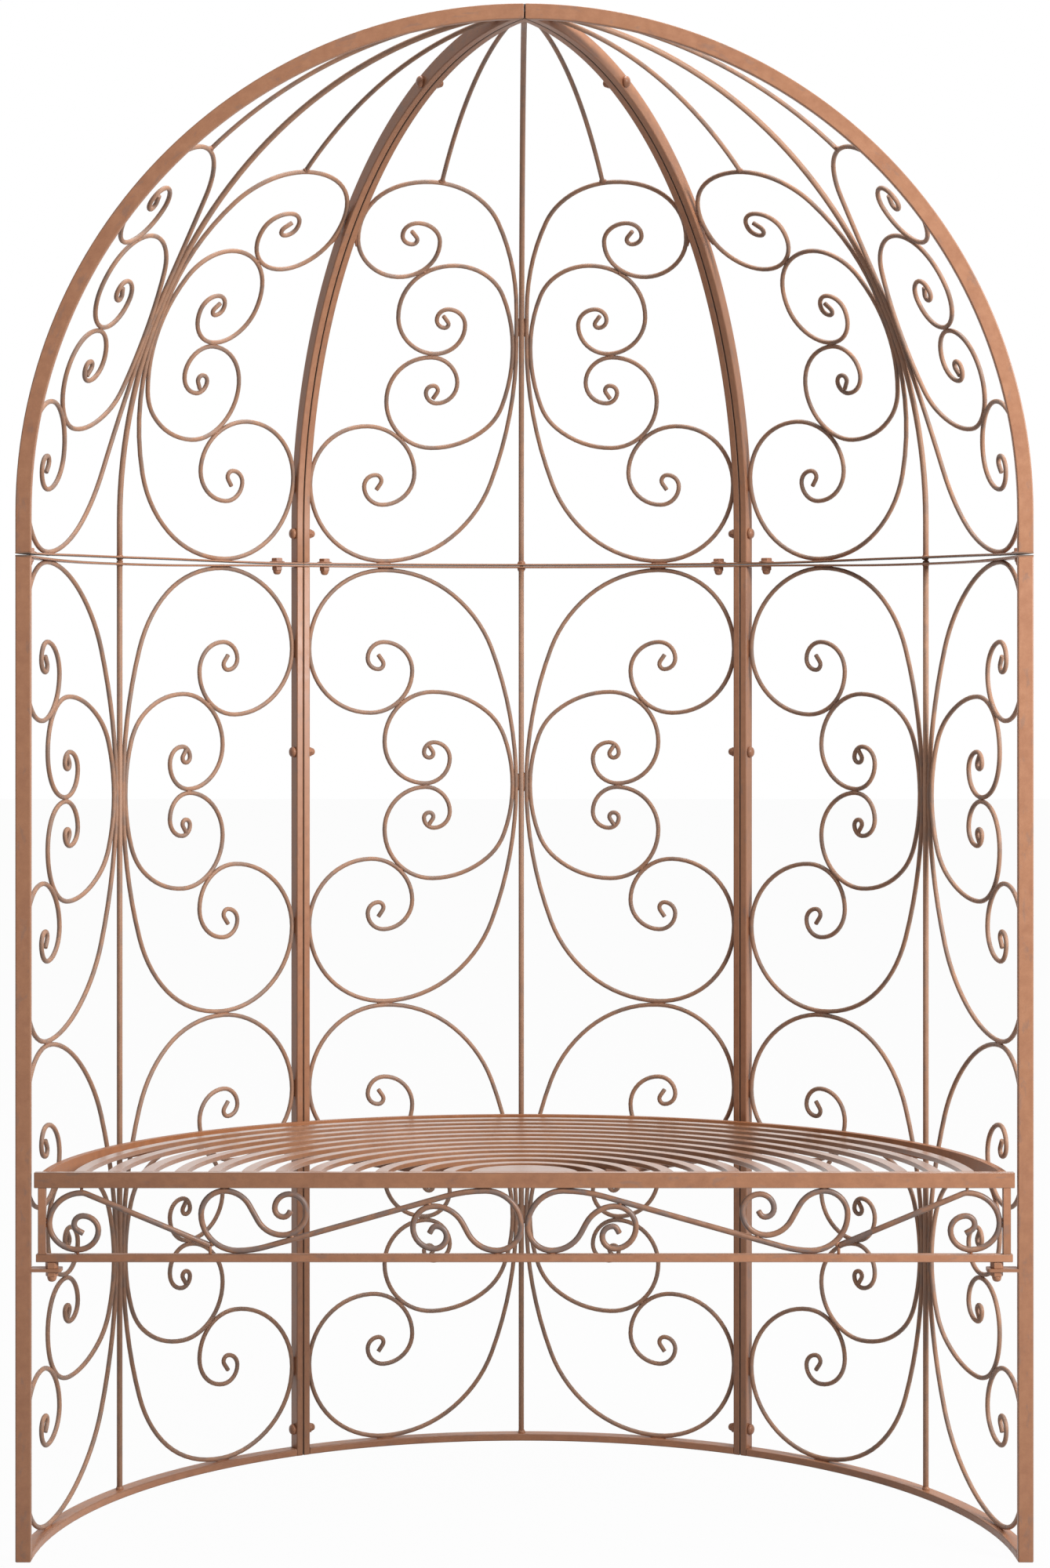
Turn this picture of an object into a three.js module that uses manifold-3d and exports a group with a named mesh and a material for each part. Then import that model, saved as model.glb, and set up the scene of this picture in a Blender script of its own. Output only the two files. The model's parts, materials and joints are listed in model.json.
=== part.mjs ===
// Arbour seat: a half-round garden shelter of welded steel panels under a quarter-sphere roof,
// with a slatted half-round bench and a scrolled apron. Millimetres, +Z up, open front towards -Y.
// The origin lies on the floor, in the middle of the whole plan.

import * as THREE from 'three';
import { mergeVertices } from 'three/addons/utils/BufferGeometryUtils.js';
import Module from 'manifold-3d';

const wasm = await Module();
wasm.setup();

// Whole shelter: walls, the upright skirt of the roof and a dome of the ring's radius make 2000 in all
const ringRadius = 653;
const wallHeight = 1293;
const roofSkirt = 53.7;

// Tube and bar sections
const tubeDepth = 20;
const tubeWidth = 10;
const flatRailThickness = 3;
const rodDiameter = 8;
const scrollDiameter = 6.4;
const apronScrollDiameter = 7.4;

// Fits
const jointGap = 0.9;
const clearance = 0.3;
const weldDepth = 1;
const cutOverrun = 5;

// Bench
const seatHeight = 500;
const seatFall = 15;
const seatSideGap = 4;
const rimGap = 13;
const slatCount = 12;
const slatWidth = 16;
const slatThickness = 6;
const outerSlatGap = 31;
const centreSlatGap = 20;
const centrePlateRadius = 70;
const bearerCount = 3;

// Apron under the front of the bench
const apronHeight = 95;
const apronRailHeight = 10;
const apronInset = 2.5;
const apronBarInset = 2.5;
const endScrollDrop = 2.7;
const endScrollLift = 1.2;

// Lugs that carry the bench
const lugThickness = 4;
const lugWidth = 20;
const lugLength = 39;
const lugBoltSetback = 26;
const lugBoltDiameter = 8;
const lugNutDiameter = 15;
const lugNutHeight = 6;
const lugSpacerHeight = 8.5;

// Facets
const hexSides = 6;
const rodSides = 8;
const bentRodSides = 4;
const scrollSides = 3;
const railChordCount = 8;
const ribChordCount = 10;
const topRodChordCount = 6;
const benchChordAngle = THREE.MathUtils.degToRad(11.5);
const wideBendPerChord = THREE.MathUtils.degToRad(30);
const tightBendPerChord = THREE.MathUtils.degToRad(45);
const tightBendShare = 0.2;

// What follows from the sizes above
const panelAngle = Math.PI / 3;
const tubeInnerRadius = ringRadius - tubeDepth;
const frameRadius = ringRadius - tubeDepth / 2;
const tubeOffset = jointGap / 2 + tubeWidth;
const rodRadius = rodDiameter / 2;
const scrollRadius = scrollDiameter / 2;
const roofBase = wallHeight + clearance;
const rimRadius = tubeInnerRadius - rimGap;
const outerSlatRadius = rimRadius - tubeWidth - outerSlatGap;
const innerSlatRadius = centrePlateRadius + centreSlatGap + slatWidth;
const slatPitch = (outerSlatRadius - innerSlatRadius) / (slatCount - 1);

// Each scroll is a chain of arcs from its belly, beside the centre rod, to the straight tip of its curl.
// The turns are in degrees, to the right where they are negative, and 0 is a straight stretch. The marks
// name the ends of the first arcs. The chord counts are the facets in each arc, and the radii are shares
// of the half height of the scroll.
const scrollTurns = [-20, -30, -40, -90, -90, -90, -90, -90, -90, -125, 0];
const scrollMarks = ['flank', 'shoulder', 'crown', 'cheek', 'loopFoot', 'loopSide'];
const largeChordCounts = [2, 2, 2, 3, 4, 3, 2, 2, 1, 1, 1];
const smallChordCounts = [1, 1, 2, 3, 3, 2, 2, 1, 1, 1, 1];
const wallLargeShares = [1.84, 0.58, 0.49, 0.361, 0.294, 0.193, 0.132, 0.075, 0.05, 0.024, 0.036];
const wallSmallShares = [1.54, 0.61, 0.92, 0.53, 0.44, 0.266, 0.174, 0.108, 0.058, 0.045, 0.088];
const roofLowerLargeShares = [1.86, 0.57, 0.47, 0.335, 0.268, 0.206, 0.145, 0.08, 0.053, 0.025, 0.034];
const roofUpperLargeShares = [1.99, 0.52, 0.42, 0.5, 0.265, 0.285, 0.137, 0.109, 0.06, 0.038, 0.052];
const roofLowerSmallShares = [1.71, 0.52, 0.84, 0.44, 0.43, 0.248, 0.208, 0.1, 0.074, 0.044, 0.078];
const roofUpperSmallShares = [1.86, 0.58, 0.58, 0.68, 0.4, 0.36, 0.19, 0.14, 0.09, 0.047, 0.09];

// Heights in a roof panel, as shares of the length of its frame from the seam to the peak
const roofBellyShare = 0.311;
const roofBellyEndShare = 0.361;
const roofSmallBellyShare = 0.307;
const roofSmallMeetShare = 0.294;
const roofCrownShare = 0.562;
const smallHalfHeightShare = 0.43;
const roofSmallLowerShare = 0.46;
const roofSmallUpperShare = 0.6;
const smallestGrowthShare = 0.6;
const largestGrowthShare = 1.6;

// The top rod of a roof panel stands on the large scroll, a little before its crown
const topRodSetback = 15;

// Scrolls of the apron: turns in degrees, to the left where they are positive and 0 for a straight
// stretch, with radii and lengths as shares of the height between the rails
const endScroll = {
  heading: 156,
  turns: [0, 24, 90, 90, 90, 90, 90, 60, 0],
  shares: [2.1, 0.18, 0.5, 0.44, 0.32, 0.24, 0.137, 0.12, 0.1],
};
const longScrollInner = {
  heading: 15.7,
  turns: [0, -15.7, -90, -90, -62, 0, 62, 90, 90, 90, 90, 60, 0],
  shares: [3.06, 2.47, 0.585, 0.4, 0.54, 0.18, 0.54, 0.345, 0.355, 0.2, 0.17, 0.08, 0.09],
};
const longScrollOuter = {
  heading: 195.7,
  turns: [-15.7, -90, -90, -61, 0, 61, 90, 90, 90, 90, 60, 0],
  shares: [1.73, 0.6, 0.385, 0.47, 0.28, 0.47, 0.39, 0.286, 0.235, 0.143, 0.1, 0.06],
};
const longScrollReachShare = 0.676;

const paint = new THREE.MeshStandardMaterial({
  color: 0xa87558, roughness: 0.72, metalness: 0.25, flatShading: true,
});
const palePaint = paint.clone();
palePaint.color.set(0xb28a72);
const darkPaint = paint.clone();
darkPaint.color.set(0x8f634b);

const shelter = new THREE.Group();
const frontEdge = jointGap / 2;
shelter.position.y = -(frontEdge + ringRadius) / 2;

function addPiece(parent, name, geometry, material = paint) {
  const piece = new THREE.Mesh(geometry, material);
  piece.name = name;
  parent.add(piece);
  return piece;
}

// Solids that are cut or joined

function solidOf(geometry) {
  const bare = geometry.clone();
  bare.deleteAttribute('normal');
  bare.deleteAttribute('uv');
  const merged = mergeVertices(bare);
  return new wasm.Manifold(new wasm.Mesh({
    numProp: 3,
    vertProperties: new Float32Array(merged.attributes.position.array),
    triVerts: new Uint32Array(merged.index.array),
  }));
}

function geometryOf(solid) {
  const mesh = solid.getMesh();
  const geometry = new THREE.BufferGeometry();
  geometry.setAttribute('position', new THREE.BufferAttribute(mesh.vertProperties, 3));
  geometry.setIndex(new THREE.BufferAttribute(mesh.triVerts, 1));
  return geometry;
}

function joined(geometries) {
  return geometryOf(geometries.map(solidOf).reduce((whole, next) => whole.add(next)));
}

function cut(geometry, cutter) {
  return geometryOf(solidOf(geometry).subtract(solidOf(cutter)));
}

// Stock shapes

function block(width, depth, height, x, y, z) {
  const geometry = new THREE.BoxGeometry(width, depth, height);
  return geometry.translate(x + width / 2, y + depth / 2, z + height / 2);
}

function uprightRod(radius, height, sides, x, y, z) {
  const geometry = new THREE.CylinderGeometry(radius, radius, height, sides);
  return geometry.rotateX(Math.PI / 2).translate(x, y, z + height / 2);
}

function ringBar(inner, outer, height, ends, chords) {
  const outline = new THREE.Shape();
  outline.absarc(0, 0, outer, ends.outerStart, ends.outerEnd, false);
  outline.absarc(0, 0, inner, ends.innerEnd, ends.innerStart, true);
  return new THREE.ExtrudeGeometry(outline, {
    depth: height, bevelEnabled: false, curveSegments: chords / 2,
  });
}

// A round bar through a list of points. Its facets are set by the direction that faces outwards, and
// its half width in its own surface is exactly the radius.
function bentBar(path, radius, sides) {
  const cornerRadius = radius / Math.sin((2 * Math.PI * Math.round(sides / 4)) / sides);
  const steps = path.slice(1).map((place, i) => place.point.clone().sub(path[i].point).normalize());
  const positions = [];
  const index = [];
  path.forEach((place, i) => {
    const along = (steps[i - 1] ?? steps[i]).clone().add(steps[i] ?? steps[i - 1]).normalize();
    const up = place.outward.clone().addScaledVector(along, -place.outward.dot(along)).normalize();
    const side = along.clone().cross(up);
    for (let k = 0; k < sides; k += 1) {
      const turn = (2 * Math.PI * k) / sides;
      const corner = place.point.clone().addScaledVector(up, cornerRadius * Math.cos(turn));
      corner.addScaledVector(side, cornerRadius * Math.sin(turn));
      positions.push(...corner);
    }
  });
  const last = (path.length - 1) * sides;
  for (let k = 0; k < sides; k += 1) {
    const next = (k + 1) % sides;
    for (let ring = 0; ring < last; ring += sides) {
      index.push(ring + k, ring + next, ring + sides + next);
      index.push(ring + k, ring + sides + next, ring + sides + k);
    }
    if (k > 0 && next > 0) {
      index.push(0, next, k, last, last + k, last + next);
    }
  }
  const geometry = new THREE.BufferGeometry();
  geometry.setAttribute('position', new THREE.Float32BufferAttribute(positions, 3));
  geometry.setIndex(index);
  return geometry;
}

// Surfaces that a panel's rods lie in: across is the arc from the middle of the panel, and up is the
// height on a wall, or the length of the curved frame above the seam on a roof panel

function onWall(across, up) {
  const turn = across / frameRadius;
  const outward = new THREE.Vector3(Math.cos(turn), Math.sin(turn), 0);
  return { point: outward.clone().multiplyScalar(frameRadius).setZ(up), outward };
}

function roofRise(up) {
  return Math.max(0, up - roofSkirt) / frameRadius;
}

function onRoof(across, up) {
  const rise = roofRise(up);
  const reach = frameRadius * Math.cos(rise);
  const turn = across / reach;
  const outward = new THREE.Vector3(
    Math.cos(turn) * Math.cos(rise),
    Math.sin(turn) * Math.cos(rise),
    Math.sin(rise),
  );
  const height = roofBase + Math.min(up, roofSkirt) + frameRadius * Math.sin(rise);
  const point = new THREE.Vector3(reach * Math.cos(turn), reach * Math.sin(turn), height);
  return { point, outward };
}

function onApron(across, up) {
  const outward = new THREE.Vector3(0, -1, 0);
  return { point: new THREE.Vector3(across, frontEdge + tubeWidth / 2, up), outward };
}

function halfRoom(reach) {
  return reach * (panelAngle / 2 - Math.asin(Math.min(1, tubeOffset / reach)));
}

// Scroll curves

// The places along a chain of arcs and straight stretches, and the index at which each of them ends
function arcChain(heading, turns, shares, chordCountOf) {
  let direction = heading;
  let across = 0;
  let up = 0;
  const places = [{ across, up }];
  const ends = turns.map((degrees, i) => {
    const turn = THREE.MathUtils.degToRad(degrees);
    const radius = shares[i] * Math.sign(turn);
    const centreAcross = across - radius * Math.sin(direction);
    const centreUp = up + radius * Math.cos(direction);
    if (turn === 0) {
      places.push({
        across: across + shares[i] * Math.cos(direction),
        up: up + shares[i] * Math.sin(direction),
      });
    }
    const count = turn === 0 ? 0 : chordCountOf(i);
    for (let chord = 1; chord <= count; chord += 1) {
      const now = direction + (turn * chord) / count;
      places.push({
        across: centreAcross + radius * Math.sin(now),
        up: centreUp - radius * Math.cos(now),
      });
    }
    direction += turn;
    ({ across, up } = places.at(-1));
    return places.length - 1;
  });
  return { places, ends };
}

function curl(shares, chordCounts) {
  const { places, ends } = arcChain(Math.PI / 2, scrollTurns, shares, (i) => chordCounts[i]);
  const marks = Object.fromEntries(scrollMarks.map((mark, i) => [mark, ends[i]]));
  return { places, marks };
}

// One half of a scroll: it stands on its belly and is stretched to its height and to its reach
function halfScroll(shares, belly, bellyUp, direction, height, reachAt) {
  const { places, marks } = curl(shares, largeChordCounts);
  const tall = height / places[marks.crown].up;
  const stretched = places.map((place) => {
    const up = bellyUp + direction * place.up * tall;
    return { across: place.across, up, most: reachAt(up) - belly };
  });
  const wide = Math.min(...stretched.filter((p) => p.across > 0).map((p) => p.most / p.across));
  return {
    places: stretched.map((p) => ({ across: belly + p.across * wide, up: p.up })),
    marks,
  };
}

function alongScroll(upper, lower) {
  return [...upper.places].reverse().concat(lower.places).filter((place, i, all) => {
    const before = all[i - 1];
    return !before || Math.hypot(place.across - before.across, place.up - before.up) > clearance;
  });
}

function leastDistance(first, second, surface) {
  const points = (run) => run.map((place) => surface(place.across, place.up).point);
  const a = points(first);
  const b = points(second);
  const fromSegments = (line, spots) => {
    let least = Infinity;
    line.slice(1).forEach((end, i) => {
      const segment = new THREE.Line3(line[i], end);
      const nearest = new THREE.Vector3();
      spots.forEach((spot) => {
        segment.closestPointToPoint(spot, true, nearest);
        least = Math.min(least, nearest.distanceTo(spot));
      });
    });
    return least;
  };
  return Math.min(fromSegments(a, b), fromSegments(b, a));
}

// The value between two ends at which a gap that shrinks on the way closes to the weld
function whereTheyMeet(from, to, radius, gapAt) {
  let apart = from;
  let together = to;
  while (Math.abs(together - apart) > 1e-5 * Math.abs(to - from)) {
    const middle = (apart + together) / 2;
    if (gapAt(middle) > 2 * radius - weldDepth) {
      apart = middle;
    } else {
      together = middle;
    }
  }
  return together;
}

// The small scroll's half grows until its shoulder meets the loop of the large scroll. Its own loop
// ends at the level where it meets the loop of its other half.
function seatedHalf(shares, belly, bellyUp, direction, meetUp, height, large, surface) {
  const loop = large.places.slice(large.marks.cheek, large.marks.loopSide + 1);
  const loopArc = scrollMarks.indexOf('loopFoot');
  const shaped = (grow) => {
    const { places, marks } = curl(shares, smallChordCounts);
    const scale = (height * grow) / places[marks.crown].up;
    const half = curl(shares.with(loopArc, places[marks.cheek].up - meetUp / scale), smallChordCounts);
    return {
      places: half.places.map((place) => ({
        across: belly + place.across * scale,
        up: bellyUp + direction * place.up * scale,
      })),
      marks: half.marks,
    };
  };
  const grow = whereTheyMeet(smallestGrowthShare, largestGrowthShare, scrollRadius, (middle) => {
    const half = shaped(middle);
    const shoulder = half.places.slice(half.marks.shoulder, half.marks.cheek + 1);
    return leastDistance(shoulder, loop, surface);
  });
  return shaped(grow);
}

function barAlong(places, hand, surface, radius, sides) {
  const path = places.map((place) => surface(place.across * hand, place.up));
  return bentBar(path, radius, sides);
}

const largeBelly = rodRadius + clearance + scrollRadius;
const smallBelly = largeBelly + 2 * scrollRadius - weldDepth;

// Two groups of scrolls one over the other, on one side of a wall panel
function wallScrollwork(hand) {
  const bottom = tubeWidth + clearance;
  const top = wallHeight - flatRailThickness - clearance;
  const groupHeight = (top - bottom + weldDepth) / 2;
  const halfHeight = groupHeight / 2 - scrollRadius;
  const reachAt = () => halfRoom(frameRadius) - clearance - scrollRadius;
  const bars = [0, 1].flatMap((group) => {
    const middle = bottom + groupHeight / 2 + group * (groupHeight - weldDepth);
    const large = [1, -1].map((direction) => (
      halfScroll(wallLargeShares, largeBelly, middle, direction, halfHeight, reachAt)
    ));
    const meet = scrollRadius - weldDepth / 2;
    const small = [1, -1].map((direction, i) => seatedHalf(
      wallSmallShares, smallBelly, middle, direction, meet,
      halfHeight * smallHalfHeightShare, large[i], onWall,
    ));
    return [large, small].map(([upper, lower]) => (
      barAlong(alongScroll(upper, lower), hand, onWall, scrollRadius, scrollSides)
    ));
  });
  return joined(bars);
}

// The scrolls and the top rod on one side of a roof panel
function roofScrollwork(hand) {
  const frameLength = roofSkirt + (frameRadius * Math.PI) / 2;
  const bottom = flatRailThickness + clearance + scrollRadius;
  const belly = frameLength * roofBellyShare;
  const bellyEnd = frameLength * roofBellyEndShare;
  const crownUp = frameLength * roofCrownShare;
  const smallUp = frameLength * roofSmallBellyShare;
  const meetUp = frameLength * roofSmallMeetShare;
  const reachAt = (up) => {
    const reach = frameRadius * Math.cos(roofRise(up));
    return halfRoom(reach) - clearance - scrollRadius;
  };
  const lower = halfScroll(roofLowerLargeShares, largeBelly, belly, -1, belly - bottom, reachAt);
  const upper = halfScroll(roofUpperLargeShares, largeBelly, bellyEnd, 1, crownUp - bellyEnd, reachAt);
  const meet = scrollRadius - weldDepth / 2;
  const smallLower = seatedHalf(
    roofLowerSmallShares, smallBelly, smallUp, -1, smallUp - meetUp + meet,
    (belly - bottom) * roofSmallLowerShare, lower, onRoof,
  );
  const smallUpper = seatedHalf(
    roofUpperSmallShares, smallBelly, smallUp, 1, meetUp - smallUp + meet,
    (crownUp - bellyEnd) * roofSmallUpperShare, upper, onRoof,
  );
  const bars = [[upper, lower], [smallUpper, smallLower]].map((halves) => (
    barAlong(alongScroll(...halves), hand, onRoof, scrollRadius, scrollSides)
  ));
  bars.push(barAlong(topRod(upper), hand, onRoof, scrollRadius, scrollSides));
  return joined(bars);
}

// The plain rod from the top of a roof scroll straight up to the side of the rib
function topRod({ places, marks }) {
  const { lerp } = THREE.MathUtils;
  const crown = places[marks.crown];
  const before = places[marks.crown - 1];
  const share = topRodSetback / Math.hypot(before.across - crown.across, before.up - crown.up);
  const start = lerp(crown.up, before.up, share);
  const across = lerp(crown.across, before.across, share);
  const meridian = across / (frameRadius * Math.cos(roofRise(start)));
  const end = roofRodEnd(scrollRadius, meridian);
  const rod = [];
  for (let chord = 0; chord <= topRodChordCount; chord += 1) {
    const up = lerp(start, end, chord / topRodChordCount);
    rod.push({ across: meridian * frameRadius * Math.cos(roofRise(up)), up });
  }
  return rod;
}

// How far up a roof panel there is room for a rod of this half width on a meridian, beside the rib
function roofRodEnd(halfWidth, meridian) {
  const reach = (tubeOffset + clearance + halfWidth) / Math.sin(panelAngle / 2 - meridian);
  return roofSkirt + frameRadius * Math.acos(reach / frameRadius);
}

// Frames of the panels. A panel is built round +X, between its two joints at half its angle each way.

// A rail of a panel ends at this distance from the planes of the two joints
function panelRail(endGap, height, z) {
  const turn = panelAngle / 2 - Math.asin(endGap / tubeInnerRadius);
  const ends = { outerStart: -turn, outerEnd: turn, innerStart: -turn, innerEnd: turn };
  return ringBar(tubeInnerRadius, ringRadius, height, ends, railChordCount).translate(0, 0, z);
}

// The flat rails of the seam run over the ends of the posts and ribs, and the foot rail between the posts
function flatRail(z) {
  return panelRail(jointGap / 2, flatRailThickness, z);
}

function footRail() {
  return panelRail(tubeOffset + clearance, tubeWidth, 0);
}

// A post stands along one joint of its panel: hand is 1 at the left joint and -1 at the right one
function post(hand, extras) {
  const side = hand > 0 ? -tubeOffset : jointGap / 2;
  const height = wallHeight - flatRailThickness - clearance;
  const tube = block(tubeDepth, tubeWidth, height, tubeInnerRadius, side, 0);
  const geometry = extras.length ? joined([tube, ...extras]) : tube;
  return geometry.rotateZ((hand * panelAngle) / 2);
}

function rib(hand) {
  const foot = flatRailThickness + clearance;
  const outline = new THREE.Shape();
  outline.moveTo(tubeInnerRadius, foot);
  outline.lineTo(ringRadius, foot);
  outline.lineTo(ringRadius, roofSkirt);
  outline.absarc(0, roofSkirt, ringRadius, 0, Math.PI / 2, false);
  outline.lineTo(0, roofSkirt + tubeInnerRadius);
  outline.absarc(0, roofSkirt, tubeInnerRadius, Math.PI / 2, 0, true);
  const tube = new THREE.ExtrudeGeometry(outline, {
    depth: tubeWidth, bevelEnabled: false, curveSegments: ribChordCount / 2,
  });
  const side = hand > 0 ? -jointGap / 2 : tubeOffset;
  tube.rotateX(Math.PI / 2).translate(0, side, roofBase).rotateZ((hand * panelAngle) / 2);
  const reach = ringRadius + cutOverrun;
  const start = hand > 0 ? -reach : -jointGap / 2;
  const height = roofSkirt + reach;
  const mitre = block(2 * reach, reach + jointGap / 2, height, -reach, start, roofBase);
  return cut(tube, mitre);
}

function roofCentreRod() {
  const start = flatRailThickness + clearance;
  const end = roofRodEnd(rodRadius, 0);
  const places = [{ across: 0, up: start }, { across: 0, up: roofSkirt }];
  for (let chord = 1; chord <= ribChordCount; chord += 1) {
    places.push({ across: 0, up: roofSkirt + ((end - roofSkirt) * chord) / ribChordCount });
  }
  return barAlong(places, 1, onRoof, rodRadius, bentRodSides);
}

// Lugs, welded to the inner face of a post

const seatTilt = Math.atan(seatFall / rimRadius);
const benchStart = frontEdge + tubeWidth + clearance + tubeDepth * Math.sin(seatTilt);
const apronFoot = seatHeight - tubeDepth - apronHeight;

function lugPlate(hand, top, length) {
  const side = hand > 0 ? -jointGap / 2 - lugWidth : jointGap / 2;
  const start = tubeInnerRadius - length;
  return block(length + weldDepth, lugWidth, lugThickness, start, side, top - lugThickness);
}

function frontLug(hand) {
  const top = apronFoot - clearance - lugSpacerHeight;
  const x = tubeInnerRadius - lugBoltSetback;
  const y = -hand * (jointGap / 2 + lugNutDiameter / 2);
  const nut = (z, height) => uprightRod(lugNutDiameter / 2, height, hexSides, x, y, z);
  const under = top - lugThickness - lugNutHeight + weldDepth;
  const tip = uprightRod(lugBoltDiameter / 2, lugNutHeight, rodSides, x, y, under - lugNutHeight / 2);
  return [lugPlate(hand, top, lugLength), nut(top - weldDepth, lugSpacerHeight + weldDepth),
    nut(under, lugNutHeight), tip];
}

function rearLug(hand) {
  const lowest = seatHeight - (rimRadius * Math.sin(Math.PI / 2 - panelAngle / 2) + lugWidth)
    * Math.sin(seatTilt) - tubeDepth;
  return [lugPlate(hand, lowest - clearance, lugLength)];
}

const panels = [
  { panelName: 'right', edges: ['front', 'rear'], lugs: [frontLug(-1), []] },
  { panelName: 'back', edges: ['right', 'left'], lugs: [rearLug(-1), rearLug(1)] },
  { panelName: 'left', edges: ['rear', 'front'], lugs: [[], frontLug(1)] },
];

panels.forEach(({ panelName, edges, lugs }, i) => {
  const panel = new THREE.Group();
  panel.rotation.z = panelAngle * (i + 0.5);
  shelter.add(panel);
  [-1, 1].forEach((hand, side) => {
    addPiece(panel, `${panelName}_wall_${edges[side]}_post`, post(hand, lugs[side]));
    addPiece(panel, `${panelName}_roof_${edges[side]}_rib`, rib(hand));
    const handName = hand < 0 ? 'right' : 'left';
    addPiece(panel, `${panelName}_wall_${handName}_scrollwork`, wallScrollwork(hand), palePaint);
    addPiece(panel, `${panelName}_roof_${handName}_scrollwork`, roofScrollwork(hand), palePaint);
  });
  const topRailBottom = wallHeight - flatRailThickness;
  const rodStart = tubeWidth + clearance;
  const rodHeight = topRailBottom - clearance - rodStart;
  addPiece(panel, `${panelName}_wall_foot_rail`, footRail());
  addPiece(panel, `${panelName}_wall_top_rail`, flatRail(topRailBottom));
  addPiece(panel, `${panelName}_wall_centre_rod`,
    uprightRod(rodRadius, rodHeight, rodSides, frameRadius, 0, rodStart));
  addPiece(panel, `${panelName}_roof_base_rail`, flatRail(roofBase));
  addPiece(panel, `${panelName}_roof_centre_rod`, roofCentreRod());
});

// Bench deck: it falls a little to the back, round the top of the front rail

function benchEnds(inner, outer) {
  const outerTurn = Math.asin(benchStart / outer);
  const innerTurn = Math.asin(Math.min(1, benchStart / inner));
  return {
    outerStart: outerTurn, outerEnd: Math.PI - outerTurn,
    innerStart: innerTurn, innerEnd: Math.PI - innerTurn,
  };
}

function benchChords(radius) {
  const wanted = Math.PI / benchChordAngle;
  return 2 * Math.ceil((wanted * Math.sqrt(radius / rimRadius)) / 2);
}

function benchRing(inner, outer, height) {
  return ringBar(inner, outer, height, benchEnds(inner, outer), benchChords(outer))
    .translate(0, -benchStart, -height);
}

const deck = new THREE.Group();
deck.position.set(0, benchStart, seatHeight);
deck.rotation.x = -seatTilt;
shelter.add(deck);

addPiece(deck, 'bench_rim', benchRing(rimRadius - tubeWidth, rimRadius, tubeDepth));

for (let i = 0; i < slatCount; i += 1) {
  const outer = outerSlatRadius - i * slatPitch;
  const number = String(i + 1).padStart(2, '0');
  addPiece(deck, `bench_slat_${number}`, benchRing(outer - slatWidth, outer, slatThickness), palePaint);
}

function centrePlate() {
  const outline = new THREE.Shape();
  const turn = Math.asin(benchStart / centrePlateRadius);
  outline.absarc(0, 0, centrePlateRadius, turn, Math.PI - turn, false);
  return new THREE.ExtrudeGeometry(outline, {
    depth: slatThickness, bevelEnabled: false, curveSegments: benchChords(centrePlateRadius),
  }).translate(0, -benchStart, -slatThickness);
}

addPiece(deck, 'bench_centre_plate', centrePlate(), palePaint);

function bearer(turn) {
  const innerEnd = centrePlateRadius / 2;
  const outerEnd = Math.sqrt((rimRadius - tubeWidth - clearance) ** 2 - (tubeWidth / 2) ** 2);
  const height = tubeDepth - slatThickness - clearance;
  const reach = outerEnd * Math.cos(benchHalfStep);
  return block(reach - innerEnd, tubeWidth, height, innerEnd, -tubeWidth / 2, -tubeDepth)
    .rotateZ(turn).translate(0, -benchStart, 0);
}

const benchHalfStep = Math.PI / benchChords(rimRadius) / 2;
for (let i = 0; i < bearerCount; i += 1) {
  const turn = (Math.PI * (i + 1)) / (bearerCount + 1);
  addPiece(deck, `bench_bearer_${i + 1}`, bearer(turn), darkPaint);
}

// Front rail and apron, upright between the front posts

const apronHalfWidth = tubeInnerRadius - seatSideGap;
const bayHalfWidth = apronHalfWidth - apronInset - apronBarInset - tubeWidth;

addPiece(shelter, 'bench_front_rail', block(
  2 * apronHalfWidth, tubeWidth, tubeDepth, -apronHalfWidth, frontEdge, seatHeight - tubeDepth,
));

function apronFrame() {
  const halfWidth = apronHalfWidth - apronInset;
  const barHeight = apronHeight - apronRailHeight + weldDepth - clearance;
  const low = apronFoot + apronRailHeight - weldDepth;
  const rail = block(2 * halfWidth, tubeWidth, apronRailHeight, -halfWidth, frontEdge, apronFoot);
  const leftBar = block(tubeWidth, tubeWidth, barHeight, -bayHalfWidth - tubeWidth, frontEdge, low);
  const rightBar = block(tubeWidth, tubeWidth, barHeight, bayHalfWidth, frontEdge, low);
  return joined([rail, leftBar, rightBar]);
}

addPiece(shelter, 'apron_frame', apronFrame());

function flatRun({ heading, turns, shares }) {
  const chordCountOf = (i) => {
    const perChord = shares[i] < tightBendShare ? tightBendPerChord : wideBendPerChord;
    return Math.max(1, Math.round(THREE.MathUtils.degToRad(Math.abs(turns[i])) / perChord));
  };
  return arcChain(THREE.MathUtils.degToRad(heading), turns, shares, chordCountOf).places;
}

// A drawing stretched into a box, with its left edge at the outer end of the box
function fitted(places, box) {
  const least = (key) => Math.min(...places.map((place) => place[key]));
  const most = (key) => Math.max(...places.map((place) => place[key]));
  const { mapLinear } = THREE.MathUtils;
  return places.map(({ across, up }) => ({
    across: mapLinear(across, least('across'), most('across'), box.outer, box.inner),
    up: mapLinear(up, least('up'), most('up'), box.low, box.high),
  }));
}

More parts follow.
